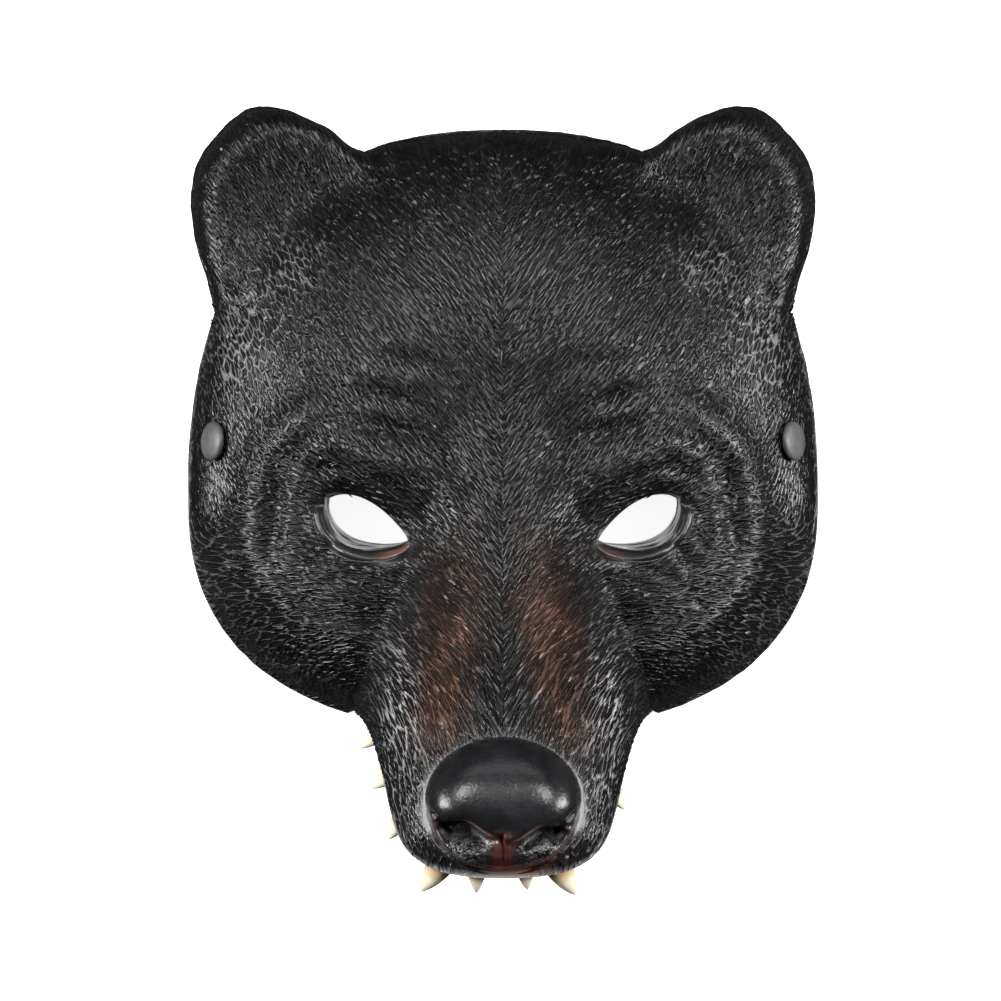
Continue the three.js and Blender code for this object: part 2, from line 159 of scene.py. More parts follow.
# Ear outline: degrees about the middle of the ear, share of EAR_RADIUS
EAR_ROWS = [
    (132, 0.905), (116, 0.925), (99, 0.972), (83, 1.06), (70, 1.105), (60, 1.075),
    (47, 1.035), (30, 1.01), (11, 0.955), (-5, 0.925), (-22, 0.945), (-38, 1.005),
]
# Creases of the face: side place, rise, degrees from level, half length, half width, depth
CREASE_ROWS = [
    (27, 19, 14, 15, 2.2, 2.1),
    (30, 28, 20, 14, 2.4, 1.9),
    (25, 38, 12, 13, 2.6, 1.3),
    (12, 6, 62, 10, 2.4, 1.3),
    (62, -2, 96, 17, 2.4, 2.2),
    (47, -12, 128, 12, 2.0, 1.3),
    (44, -21, -24, 15, 2.2, 0.9),
    (52, 8, 38, 9, 2.0, 1.6),
    (31, -33, 70, 16, 4.0, 2.2),
    (51, -1.5, -16, 4.5, 1.1, 1.8),
]

# How finely the shell is made
RIM_COUNTS = {"forehead": 36, "ear": 84, "temple": 96, "mouth": 64, "lip": 44}
LIP_START = 0.72
RING_COUNT = 132
INNER_STEP = 4
EDGE_POWER = 40.0
EAR_EDGE_POWER = 24.0
POWER_WINDOW = 25
SHARE_STEPS = 700

# Photograph's view: pixel of the object's own middle, and the size of a pixel at the rim
PICTURE_WIDTH = 1001
MIDDLE_PIXEL = (503.0, 500.0)
PIXEL_AT_RIM = 0.2894
VIEW_DISTANCE = 1200.0
SENSOR_WIDTH = 36.0


def bell(distance):
    return np.exp(-np.square(distance))


def ease(low, high, value):
    share = np.clip((value - low) / (high - low), 0.0, 1.0)
    return share * share * (3.0 - 2.0 * share)


def lerp(start, end, share):
    return start + (end - start) * share


def smooth_max(first, second, blend):
    blend = np.maximum(blend, 1e-6)
    share = np.clip(0.5 + (first - second) / (2.0 * blend), 0.0, 1.0)
    return lerp(second, first, share) + blend * share * (1.0 - share)


def read_rows(rows, value):
    """Smooth curve through the rows, whose first column falls."""
    keys = np.array([row[0] for row in rows])[::-1]
    heights = np.array([row[1] for row in rows])[::-1]
    slopes = np.empty(len(keys))
    slopes[1:-1] = (heights[2:] - heights[:-2]) / (keys[2:] - keys[:-2])
    slopes[0] = (heights[1] - heights[0]) / (keys[1] - keys[0])
    slopes[-1] = (heights[-1] - heights[-2]) / (keys[-1] - keys[-2])
    start = np.clip(np.searchsorted(keys, value, side="right") - 1, 0, len(keys) - 2)
    span = keys[start + 1] - keys[start]
    share = np.clip((value - keys[start]) / span, 0.0, 1.0)
    square, cube = share**2, share**3
    return (
        (2 * cube - 3 * square + 1) * heights[start]
        + (cube - 2 * square + share) * span * slopes[start]
        + (3 * square - 2 * cube) * heights[start + 1]
        + (cube - square) * span * slopes[start + 1]
    )


def new_mesh(name, points, faces):
    mesh = bpy.data.meshes.new(name)
    mesh.from_pydata(np.asarray(points).tolist(), [], faces)
    return mesh


def new_object(name, data):
    made = bpy.data.objects.new(name, data)
    bpy.context.collection.objects.link(made)
    return made


def read_values(items, field, width=1, kind=float):
    """One field of all items, with a row for each item where the field has several numbers."""
    flat = np.empty(len(items) * width, kind)
    items.foreach_get(field, flat)
    return flat if width == 1 else flat.reshape(-1, width)


# Form of the outer face, as a height over each place of the front view
def oval_reach(y):
    return np.where(y > 0, FOREHEAD_RISE, CHEEK_DROP)


def oval_half_width(y):
    inside = np.maximum(0.0, 1.0 - (np.abs(y) / oval_reach(y)) ** OVAL_POWER)
    return FACE_HALF_WIDTH * inside ** (1.0 / OVAL_POWER)


MOUTH_CORNER_HALF_WIDTH = float(oval_half_width(np.array(-MOUTH_CORNER_DROP)))


def head_height(x, y):
    filled = (np.abs(x) / FACE_HALF_WIDTH) ** OVAL_POWER + (np.abs(y) / oval_reach(y)) ** OVAL_POWER
    return HEAD_DEPTH * np.maximum(0.0, 1.0 - filled) ** (1.0 / DOME_POWER)


def mouth_share(y):
    return np.clip((-y - MOUTH_CORNER_DROP) / (LIP_DROP - MOUTH_CORNER_DROP), 0.0, 1.0)


def mouth_height(share):
    return LIP_REACH * share**0.6


def mouth_half_width(share):
    taper = lerp(MOUTH_CORNER_HALF_WIDTH, MUZZLE_HALF_WIDTH, np.sqrt(share))
    return taper * (1.0 - share**8) ** 0.4


def muzzle_height(x, y):
    share = mouth_share(y)
    flared = np.maximum(MOUTH_CORNER_HALF_WIDTH - (y + MOUTH_CORNER_DROP) * MUZZLE_FLARE, 1.0)
    half_width = np.where(share > 0, mouth_half_width(share), flared)
    edge = mouth_height(share)
    crest = MUZZLE_REACH * read_rows(CREST_ROWS, y / LIP_DROP)
    across = np.minimum(1.0, np.abs(x) / np.maximum(half_width, 0.01))
    return edge + np.maximum(0.0, crest - edge) * np.sqrt(1.0 - across**3)


def ear_out(x, y):
    return np.hypot(np.abs(x) - EAR_SPREAD, y - EAR_RISE) / EAR_RADIUS


def ear_height(x, y):
    out = ear_out(x, y)
    cup = EAR_CUP * (1.0 - ease(0.25, 0.85, out))
    edge = 0.12 * EAR_FOLD * ease(0.85, 1.1, out)
    return (EAR_FOLD - cup - edge) * (1.0 - ease(1.15, 1.6, out))


def eye_frame(x, y):
    right = np.abs(x) - EYE_SPREAD
    up = y + EYE_DROP
    along = right * math.cos(EYE_TILT) + up * math.sin(EYE_TILT)
    above = up * math.cos(EYE_TILT) - right * math.sin(EYE_TILT)
    return along, above


def soft_forms(x, y):
    along, above = eye_frame(x, y)
    socket = SOCKET_DEPTH * bell(along / SOCKET_RADIUS) * bell(above / (SOCKET_RADIUS * 0.62))
    brow = BROW_SWELL * bell(along / BROW_LENGTH) * bell((above - BROW_RISE) / 7.0)
    boss_x = (np.abs(x) - FOREHEAD_BOSS_SPREAD) / 18.0
    boss = FOREHEAD_SWELL * bell(boss_x) * bell((y - FOREHEAD_BOSS_RISE) / 24.0)
    return brow + boss - socket


def lid_out(x, y, offset):
    along, above = eye_frame(x, y)
    bow = np.where(above > 0, UPPER_LID_BOW, LOWER_LID_BOW)
    return np.hypot(along / (EYE_HALF_LENGTH + offset), above / (bow + offset))


def creases(x, y):
    total = np.zeros_like(x)
    for side, rise, turn, length, width, depth in CREASE_ROWS:
        angle = math.radians(turn)
        right = np.abs(x) - side
        up = y - rise
        along = right * math.cos(angle) + up * math.sin(angle)
        over = up * math.cos(angle) - right * math.sin(angle) + 0.012 * along**2
        total -= depth * bell(along / length) ** 2 * bell(over / width)
    return total


def nose_out(x, y):
    """Distance out from the middle of the nose, 1 along the groove round it."""
    return np.hypot(x / NOSE_HALF_WIDTH, (y + NOSE_DROP) / NOSE_HALF_HEIGHT)


def nose_bed(x, y):
    """Dip of the skin under the finer face of the nose."""
    return -NOSE_BED * (1.0 - ease(0.86, 1.03, nose_out(x, y)))


def nose_brim(x):
    """Rise of the lower edge of the pad, where the nostrils open under it."""
    side = np.abs(x)
    rise = lerp(-BRIM_MIDDLE_DROP, -BRIM_SIDE_DROP, ease(1.6, 11.0, side))
    return rise - 1.6 * ease(14.0, 19.5, side) - np.where(x > 0, BRIM_UNEVENNESS, 0.0)


def nose_detail(x, y):
    """Nose over the smooth muzzle: broad pad, nostrils under its edge, lobes, septum and groove."""
    side = np.abs(x)
    out = nose_out(x, y)
    wide = np.where(x < 0, 1.0, 0.72)
    over = y - nose_brim(x)
    pad_height = np.where(y > -PAD_DROP, PAD_RISE, PAD_FALL)
    pad_out = np.hypot(x / PAD_HALF_WIDTH, (y + PAD_DROP) / pad_height)
    pad = (NOSE_SWELL + 0.001 * side**3) * np.maximum(0.0, 1.0 - pad_out**3.2) ** 0.55
    hollow = PAD_HOLLOW * bell(x / 5.0) * bell((y + 69.0) / 6.0)
    front = FRONT_SWELL * np.maximum(0.0, 1.0 - out**5) ** 0.5
    form = lerp(front, np.maximum(pad - hollow, front), ease(-1.1, 1.5, over))
    rim = BRIM_RIM_SWELL * bell((over - 0.1) / 0.75) * ease(1.0, 3.0, side) * ease(19.0, 16.0, side)
    cave = NOSTRIL_DEPTH * bell((side - NOSTRIL_SPREAD) / NOSTRIL_REACH) ** 2
    cave = cave * bell((over + 2.2) / (2.5 * wide)) * lerp(0.7, 1.0, wide)
    slit_way = np.clip((side - 13.5) / 6.0, 0.0, 1.0)
    slit = SLIT_DEPTH * bell(y - lerp(-86.6, -81.0, slit_way))
    slit = slit * ease(12.0, 14.5, side) * ease(20.5, 18.0, side)
    lobe = LOBE_SWELL * bell(np.hypot((side - LOBE_SPREAD) / 6.4, (y + LOBE_DROP) / 4.4))
    flute = 0.35 * bell((side - 1.5) / 0.6) - 0.9 * bell(x / 0.55)
    septum = SEPTUM_SWELL * bell(x / SEPTUM_HALF_WIDTH) + flute
    septum = septum * ease(-96.5, -93.0, y) * ease(-85.6, -90.0, y)
    groove = NOSE_GROOVE_DEPTH * bell((out - 0.985) / 0.035) * ease(-74.0, -82.0, y)
    lip = NOSE_LIP_SWELL * bell((out - 0.93) / 0.04) * ease(-80.0, -88.0, y)
    return form + rim - cave - slit + lobe + septum - groove + lip


def fine_forms(x, y):
    around = np.maximum(np.hypot(np.abs(x) - EYE_SPREAD, y + EYE_DROP), 0.01)
    outward = ease(-0.3, 0.5, (np.abs(x) - EYE_SPREAD - 0.3 * (y + EYE_DROP)) / around)
    ring = CHEEK_RING_SWELL * bell((around - CHEEK_RING_RADIUS) / 5.0) * outward
    inner_ring = SOCKET_RING_SWELL * bell((around - SOCKET_RING_RADIUS) / 3.4) * outward
    lid = LID_SWELL * bell((lid_out(x, y, LID_OFFSET) - 1.0) / 0.22)
    return ring + inner_ring + lid + creases(x, y) + nose_bed(x, y)


# Rim of the sheet, from the middle of the forehead round the right side to the middle of the lip
def even_points(points, count):
    """Points at equal steps along a line, without its last one."""
    steps = np.linalg.norm(np.diff(points, axis=0), axis=1)
    ways = np.concatenate([[0.0], np.cumsum(steps)])
    wanted = np.linspace(0.0, ways[-1], count, endpoint=False)
    return np.stack([np.interp(wanted, ways, points[:, axis]) for axis in range(3)], axis=1)


def forehead_line():
    x = np.linspace(0.0, FACE_HALF_WIDTH * EAR_NOTCH_SIDE, 241)
    y = FOREHEAD_RISE * (1.0 - (x / FACE_HALF_WIDTH) ** OVAL_POWER) ** (1.0 / OVAL_POWER)
    return np.stack([x, y, np.zeros_like(x)], axis=1)


def centripetal_line(points, steps):
    """Centripetal Catmull-Rom curve through points, as three.js draws it."""
    ends = np.vstack([2 * points[0] - points[1], points, 2 * points[-1] - points[-2]])
    line = []
    for p0, p1, p2, p3 in zip(ends, ends[1:], ends[2:], ends[3:]):
        d0, d1, d2 = (max(np.linalg.norm(b - a) ** 0.5, 1e-4) for a, b in ((p0, p1), (p1, p2), (p2, p3)))
        start = ((p1 - p0) / d0 - (p2 - p0) / (d0 + d1) + (p2 - p1) / d1) * d1
        end = ((p2 - p1) / d1 - (p3 - p1) / (d1 + d2) + (p3 - p2) / d2) * d1
        share = np.linspace(0.0, 1.0, steps, endpoint=False)[:, None]
        bend = (2 * p1 - 2 * p2 + start + end) * share**3
        line.append(bend + (3 * p2 - 3 * p1 - 2 * start - end) * share**2 + start * share + p1)
    return np.vstack([*line, points[-1:]])


def ear_line():
    notch_x = FACE_HALF_WIDTH * EAR_NOTCH_SIDE
    notch_y = FOREHEAD_RISE * EAR_NOTCH_RISE
    points = [forehead_line()[-1]]
    for index, (degrees, share) in enumerate(EAR_ROWS):
        lift = EAR_EDGE_LIFT * math.sin(math.pi * (index + 1) / (len(EAR_ROWS) + 1))
        turn = math.radians(degrees)
        out = share * EAR_RADIUS
        points.append([EAR_SPREAD + out * math.cos(turn), EAR_RISE + out * math.sin(turn), lift])
    points.append([float(oval_half_width(np.array(notch_y))), notch_y, 0.0])
    points[0] = [notch_x, points[0][1], 0.0]
    return centripetal_line(np.array(points), 40)


def temple_line():
    start = math.asin(EAR_NOTCH_RISE)
    end = -math.asin(MOUTH_CORNER_DROP / CHEEK_DROP)
    turn = np.linspace(start, end, 241)
    y = np.sin(turn) * oval_reach(turn)
    return np.stack([oval_half_width(y), y, np.zeros_like(y)], axis=1)


def mouth_line(start, end):
    share = np.linspace(start, end, 241)
    way = 1.0 - (1.0 - share) ** 2
    y = -lerp(MOUTH_CORNER_DROP, LIP_DROP, way)
    return np.stack([mouth_half_width(way), y, mouth_height(way)], axis=1)


def rim_rays(counts):
    """End of each ray, its edge power, whether it ends on the mouth, and the way out of the outline."""
    parts = [
        (forehead_line(), counts["forehead"], EDGE_POWER, False),
        (ear_line(), counts["ear"], EAR_EDGE_POWER, False),
        (temple_line(), counts["temple"], EDGE_POWER, False),
        (mouth_line(0.0, LIP_START), counts["mouth"], EDGE_POWER, True),
        (mouth_line(LIP_START, 1.0), counts["lip"], EDGE_POWER, True),
    ]
    lines = [even_points(line, count) for line, count, _, _ in parts]
    ends = np.vstack([*lines, [[0.0, -LIP_DROP, LIP_REACH]]])
    powers = np.concatenate([np.full(count, power) for _, count, power, _ in parts] + [[EDGE_POWER]])
    mouth = np.concatenate([np.full(count, open_edge) for _, count, _, open_edge in parts] + [[True]])
    back = slice(-2, 0, -1)
    ends = np.vstack([ends, ends[back] * [-1, 1, 1]])
    powers = np.concatenate([powers, powers[back]])
    window = np.hanning(POWER_WINDOW) / np.hanning(POWER_WINDOW).sum()
    half = POWER_WINDOW // 2
    powers = np.convolve(np.concatenate([powers[-half:], powers, powers[:half]]), window, mode="valid")
    mouth = np.concatenate([mouth, mouth[back]])
    run = np.roll(ends, -1, axis=0) - np.roll(ends, 1, axis=0)
    outward = np.stack([-run[:, 1], run[:, 0], np.zeros(len(run))], axis=1)
    outward /= np.linalg.norm(outward, axis=1, keepdims=True)
    return ends, powers, mouth, outward


def face_points(rays, shares, fine):
    """Outer face at shares of the way from the middle of the forehead to the rim: rays by rings."""
    ends, powers, mouth, outward = rays
    x = ends[:, :1] * shares
    y = lerp(FAN_CENTRE_RISE, ends[:, 1:2], shares)
    blend = MUZZLE_BLEND * (lerp(0.4, 1.0, ease(-75.0, -45.0, y)) + 0.7 * bell((y + 50.0) / 16.0))
    head = smooth_max(head_height(x, y), muzzle_height(x, y), blend)
    covered = np.where(y > 0, smooth_max(head, ear_height(x, y), EAR_BLEND), head)
    forms = soft_forms(x, y) + (fine_forms(x, y) if fine else 0.0)
    edge = np.sqrt(1.0 - shares ** powers[:, None])
    low = ends[:, 2:3]
    z = low + (covered + forms * (1.0 - shares**12) - low) * edge
    flare = np.where(mouth, 0.0, RIM_FLARE)[:, None] * ease(0.995, 1.0, shares)
    return np.stack([x, y, z], axis=2) + outward[:, None, :] * flare[:, :, None]


def even_shares(rays, count):
    """Shares that give each ray rings at equal steps along the surface."""
    fine = 1.0 - (1.0 - np.linspace(0.0, 1.0, SHARE_STEPS)) ** 2
    points = face_points(rays, np.broadcast_to(fine, (len(rays[0]), SHARE_STEPS)), False)
    steps = np.linalg.norm(np.diff(points, axis=1), axis=2)
    ways = np.concatenate([np.zeros((len(steps), 1)), np.cumsum(steps, axis=1)], axis=1)
    wanted = np.arange(count + 1) / count
    return np.stack([np.interp(wanted * way[-1], way, fine) for way in ways])


def unit(vectors):
    return vectors / np.maximum(np.linalg.norm(vectors, axis=-1, keepdims=True), 1e-12)


def inner_points(rays, shares):
    """Smooth outer face moved in by the wall, which is thicker along the lip."""
    ends, _, mouth, _ = rays
    points = face_points(rays, shares, False)
    around = np.roll(points, -1, axis=0) - np.roll(points, 1, axis=0)
    outwards = np.empty_like(points)
    outwards[:, 1:-1] = points[:, 2:] - points[:, :-2]
    outwards[:, -1] = points[:, -1] - points[:, -2]
    outwards[:, 0] = points[:, 1] - points[:, 0]
    normal = unit(np.cross(outwards, around))
    normal *= np.where(normal[..., 2:] < 0, -1.0, 1.0)
    flat = ~mouth
    normal[flat, -1, 2] = 0.0
    normal = unit(normal)
    from_edge = np.linalg.norm(points - ends[:, None, :], axis=2)
    lip = mouth[:, None] * bell(from_edge / LIP_DEPTH) * ease(0.0, 0.12, mouth_share(ends[:, 1]))[:, None]
    inner = points - normal * lerp(WALL, LIP_THICKNESS, lip)[..., None]
    inner[:, 0] = points[:, 0] - [0.0, 0.0, WALL]
    inner[:, :-1, 2] = np.maximum(inner[:, :-1, 2], 0.2)
    inner[:, -1, 2] = np.maximum(inner[:, -1, 2], 0.0)
    return inner


def fan_faces(rays, rings, start, inward):
    """Faces of a fan of rays and rings, whose middle is vertex start."""
    faces = []

    def at(ray, ring):
        return start + 1 + (ring - 1) * rays + ray % rays

    for ray in range(rays):
        faces.append([start, at(ray + 1, 1), at(ray, 1)])
        for ring in range(1, rings):
            faces.append([at(ray, ring), at(ray + 1, ring), at(ray + 1, ring + 1), at(ray, ring + 1)])
    return [face[::-1] for face in faces] if inward else faces


def shell_mesh():
    """Closed shell: fine outer face in slot 0, coarser inner face and rim in slot 1."""
    rays = rim_rays(RIM_COUNTS)
    count = len(rays[0])
    shares = even_shares(rays, RING_COUNT)
    outer = face_points(rays, shares, True)
    coarse = tuple(part[::INNER_STEP] for part in rays)
    inner = inner_points(coarse, even_shares(coarse, RING_COUNT // INNER_STEP))
    inner_count = len(coarse[0])
    inner_rings = RING_COUNT // INNER_STEP
    inner_start = 1 + count * RING_COUNT
    points = np.vstack([
        outer[0, :1],
        outer[:, 1:].transpose(1, 0, 2).reshape(-1, 3),
        inner[0, :1],
        inner[:, 1:].transpose(1, 0, 2).reshape(-1, 3),
    ])
    outer_faces = fan_faces(count, RING_COUNT, 0, False)
    inner_faces = fan_faces(inner_count, inner_rings, inner_start, True)
    outer_rim = 1 + count * (RING_COUNT - 1)
    inner_rim = inner_start + 1 + inner_count * (inner_rings - 1)
    for ray in range(count):
        own = inner_rim + ((ray + INNER_STEP // 2) // INNER_STEP) % inner_count
        following = inner_rim + ((ray + 1 + INNER_STEP // 2) // INNER_STEP) % inner_count
        near, far = outer_rim + ray, outer_rim + (ray + 1) % count
        inner_faces.append([near, far, own])
        if following != own:
            inner_faces.append([far, following, own])
    mesh = new_mesh("mask_shell_form", points, outer_faces + inner_faces)
    slots = np.concatenate([np.zeros(len(outer_faces), int), np.ones(len(inner_faces), int)])
    mesh.polygons.foreach_set("material_index", slots)
    return mesh, outer


# Almond eye hole, whose lower edge is cut on a slant that shows from the front
# Rings of the cut: lower edge moved out, outer corner moved out, walls down from the skin, lift
EYE_CUT_ROWS = [(0, 0, 1, -25), (0, 0, 1, 0), (3.1, 1.6, 0, 0.4), (3.3, 1.7, 0, 25)]
EYE_LEAN = 0.3
EYE_STEPS = 28
CUT_SLOT = 2
SLOT_COUNT = 3


def almond(lower_extra, outer_extra):
    inwards = np.linspace(1, -1, EYE_STEPS, endpoint=False)
    along = np.concatenate([inwards, -inwards])
    upper = np.arange(2 * EYE_STEPS) < EYE_STEPS
    bow = np.where(upper, UPPER_LID_BOW, -(LOWER_LID_BOW + lower_extra))
    above = bow * (1 - along**2) ** 0.75 * (1 + EYE_LEAN * along)
    length = EYE_HALF_LENGTH + outer_extra * ease(0.0, 1.0, along)
    return along * length, above


def from_eye_frame(along, above):
    """Place on the right half of what is given along and above the slant of the eye."""
    x = EYE_SPREAD + along * math.cos(EYE_TILT) - above * math.sin(EYE_TILT)
    y = -EYE_DROP + along * math.sin(EYE_TILT) + above * math.cos(EYE_TILT)
    return x, y


def surface_height(x, y):
    return smooth_max(head_height(x, y), muzzle_height(x, y), MUZZLE_BLEND) + soft_forms(x, y)


def eye_cutter(side):
    rings = []
    for lower_extra, outer_extra, walls, lift in EYE_CUT_ROWS:
        x, y = from_eye_frame(*almond(lower_extra, outer_extra))
        z = surface_height(x, y) - walls * WALL + lift
        rings.append(np.stack([side * x, y, z], axis=1))
    count = len(rings[0])
    last = count * (len(rings) - 1)
    faces = [list(range(count))[::-1], list(range(last, last + count))]
    for level in range(len(rings) - 1):
        for index in range(count):
            a, b = level * count + index, level * count + (index + 1) % count
            faces.append([a, b, b + count, a + count])
    if side < 0:
        faces = [face[::-1] for face in faces]
    mesh = new_mesh("eye_cutter", np.vstack(rings), faces)
    mesh.polygons.foreach_set("material_index", [CUT_SLOT] * len(faces))
    return mesh


def add_empty_slots(mesh):
    for slot in range(SLOT_COUNT):
        mesh.materials.append(None)


def cut_away(target, cutter_mesh):
    """Takes a closed mesh out of the target object."""
    cutter = new_object("cutter", cutter_mesh)
    add_empty_slots(cutter.data)
    step = target.modifiers.new("cut", "BOOLEAN")
    step.operation = "DIFFERENCE"
    step.solver = "MANIFOLD"
    step.object = cutter
    graph = bpy.context.evaluated_depsgraph_get()
    result = bpy.data.meshes.new_from_object(target.evaluated_get(graph))
    target.modifiers.remove(step)
    target.data = result
    bpy.data.objects.remove(cutter)


shell_form, shell_outer = shell_mesh()
shell = new_object("moulded_shell", shell_form)
add_empty_slots(shell.data)
for side in (-1, 1):
    cut_away(shell, eye_cutter(side))
print("shell", len(shell.data.vertices), "points", len(shell.data.polygons), "faces")


# Node trees: arithmetic on sockets is written as plain expressions
class Value:
    """A socket of a node tree, which adds Math nodes when it is calculated with."""

    def __init__(self, graph, socket):
        self.graph = graph
        self.socket = socket

    def math(self, operation, *others, reverse=False):
        values = [*others, self] if reverse else [self, *others]
        return self.graph.node("ShaderNodeMath", {"operation": operation}, dict(enumerate(values)))

    def __add__(self, other):
        return self.math("ADD", other)

    def __radd__(self, other):
        return self.math("ADD", other, reverse=True)

    def __sub__(self, other):
        return self.math("SUBTRACT", other)

    def __rsub__(self, other):
        return self.math("SUBTRACT", other, reverse=True)

    def __mul__(self, other):
        return self.math("MULTIPLY", other)

    def __rmul__(self, other):
        return self.math("MULTIPLY", other, reverse=True)

    def __truediv__(self, other):
        return self.math("DIVIDE", other)

    def __rtruediv__(self, other):
        return self.math("DIVIDE", other, reverse=True)

    def __pow__(self, other):
        return self.math("POWER", other)

    def __neg__(self):
        return self.math("MULTIPLY", -1.0)

    def __abs__(self):
        return self.math("ABSOLUTE")

    def ease(self, low, high):
        settings = {"interpolation_type": "SMOOTHSTEP"}
        inputs = {"Value": self, "From Min": low, "From Max": high}
        return self.graph.node("ShaderNodeMapRange", settings, inputs)

    def output(self, name):
        return Value(self.graph, self.socket.node.outputs[name])


class Graph:
    """Adds nodes to a tree and links what they are given."""

    def __init__(self, tree):
        self.tree = tree

    def node(self, kind, settings=None, inputs=None, output=0):
        made = self.tree.nodes.new(kind)
        for name, value in (settings or {}).items():
            setattr(made, name, value)
        for name, value in (inputs or {}).items():
            if isinstance(value, Value):
                self.tree.links.new(value.socket, made.inputs[name])
            else:
                made.inputs[name].default_value = value
        if len(made.outputs) == 0:
            return None
        return Value(self, made.outputs[output])

    def mix(self, share, first, second):
        """Colour between two colours."""
        inputs = {0: share, 6: first, 7: second}
        return self.node("ShaderNodeMix", {"data_type": "RGBA"}, inputs, output=2)

    def vector(self, x, y, z):
        return self.node("ShaderNodeCombineXYZ", None, {"X": x, "Y": y, "Z": z})


# Direction in which the fur lies on the right half: side place, rise, degrees from level outwards
FLOW_ROWS = [
    (2, 98, 64), (2, 60, 58), (2, 30, 56), (2, 0, 58), (2, -30, 66), (8, -50, 72), (14, -66, 76),
    (22, 92, 58), (24, 60, 53), (22, 30, 53), (14, 10, 56), (12, -15, 62), (18, -32, 50),
    (42, 82, 57), (46, 50, 60), (34, 22, 57), (52, 18, 60), (62, 36, 66), (74, 28, 74), (84, 4, 84),
    (62, 4, 20), (66, -10, 12), (50, -24, 4), (36, -28, 4), (26, -40, 34), (48, -40, -10),
    (72, -26, -14), (80, -34, -34), (62, -48, -42), (44, -56, -46), (32, -58, 56), (24, -72, 70),
    (26, -88, 72), (50, 90, 70), (60, 82, 58), (62, 100, 60), (76, 96, 50), (86, 78, 56), (76, 62, 60),
]
FLOW_REACH = 7.0
GRID_LOW = (0.0, -112.0)
GRID_SIZE = (100, 232)


def flow_direction(x, y):
    """Unit direction of the fur in the front view on the right half."""
    total_x = np.zeros_like(x)
    total_y = np.zeros_like(x)
    for side, rise, degrees in FLOW_ROWS:
        weight = 1.0 / ((x - side) ** 2 + (y - rise) ** 2 + FLOW_REACH**2) ** 2
        total_x += weight * math.cos(math.radians(degrees))
        total_y += weight * math.sin(math.radians(degrees))
    length = np.hypot(total_x, total_y)
    return total_x / length, total_y / length


def potential(slope_x, slope_y):
    """Grid of heights whose slopes are as near as can be to those given."""
    gx = slope_x.copy()
    gy = slope_y.copy()
    gx[-1, :] = 0.0
    gy[:, -1] = 0.0
    gx = np.concatenate([gx, -gx[-2::-1], np.zeros_like(gx[:1])], axis=0)
    gx = np.concatenate([gx, gx[:, ::-1]], axis=1)
    gy = np.concatenate([gy, -gy[:, -2::-1], np.zeros_like(gy[:, :1])], axis=1)
    gy = np.concatenate([gy, gy[::-1]], axis=0)
    spread = gx - np.roll(gx, 1, axis=0) + gy - np.roll(gy, 1, axis=1)
    turn_x = 2 * np.cos(2 * np.pi * np.arange(gx.shape[0]) / gx.shape[0]) - 2
    turn_y = 2 * np.cos(2 * np.pi * np.arange(gx.shape[1]) / gx.shape[1]) - 2
    divisor = turn_x[:, None] + turn_y[None, :]
    divisor[0, 0] = 1.0
    solved = np.fft.fft2(spread) / divisor
    solved[0, 0] = 0.0
    return np.real(np.fft.ifft2(solved))[: slope_x.shape[0], : slope_x.shape[1]]


def flow_grids():
    x, y = np.meshgrid(
        GRID_LOW[0] + np.arange(GRID_SIZE[0]) + 0.0, GRID_LOW[1] + np.arange(GRID_SIZE[1]), indexing="ij"
    )
    along_x, along_y = flow_direction(x, y)
    return potential(along_y, -along_x), potential(along_x, along_y)


ACROSS_GRID, ALONG_GRID = flow_grids()


def read_grid(grid, x, y):
    place_x = np.clip(x - GRID_LOW[0], 0, GRID_SIZE[0] - 1.001)
    place_y = np.clip(y - GRID_LOW[1], 0, GRID_SIZE[1] - 1.001)
    i, j = place_x.astype(int), place_y.astype(int)
    s, t = place_x - i, place_y - j
    low = lerp(grid[i, j], grid[i + 1, j], s)
    high = lerp(grid[i, j + 1], grid[i + 1, j + 1], s)
    return lerp(low, high, t)


# Patches of finish, alike on both halves: side place, rise, reach across, reach up and down, strength; the
# first table is of pale dry-brushed paint with painted sheen, the second of the net of the fur
DRYBRUSH_AND_PAINTED_SHEEN_ROWS = [
    (27.5, -64, 6.5, 24, 1.5), (70, 40, 15, 24, 0.4), (56, 66, 12, 9, 0.2), (64, -34, 20, 20, 0.5),
    (87, -4, 9, 22, 0.6),
]
NET_ROWS = [(73, 42, 14, 20, 1.0), (57, 65, 10, 10, 0.9), (28, -50, 5.5, 20, 0.45)]
BROWN_DROP = 42.0
BROWN_HALF_WIDTH = 7.6
BROWN_HALF_LENGTH = 24.0


def patches(rows, x, y):
    total = np.zeros_like(x)
    for side, rise, across, along, strength in rows:
        total += strength * bell((np.abs(x) - side) / across) * bell((y - rise) / along)
    return total


# Where each finish, painted sheen and painted shade lies on the face, from 0 to 1
def nose_share(x, y):
    return 1.0 - ease(0.9, 1.04, nose_out(x, y))


def fur_share(x, y):
    """How much fur stands: none on the nose, the lids and the lip."""
    nose = np.hypot(x / (NOSE_HALF_WIDTH + 1.5), (y + NOSE_DROP) / (NOSE_HALF_HEIGHT + 0.5))
    along, above = eye_frame(x, y)
    lid_bow = np.where(above > 0, UPPER_LID_BOW + 0.4, LOWER_LID_BOW + 6.4)
    lid_length = EYE_HALF_LENGTH + np.where(above > 0, 0.6, 3.4)
    lid = np.hypot(along / lid_length, above / lid_bow)
    chin = 1.0 - bell(x / 14.0) * ease(-91.0, -96.0, y)
    return ease(0.98, 1.12, nose) * ease(0.95, 1.12, lid) * chin


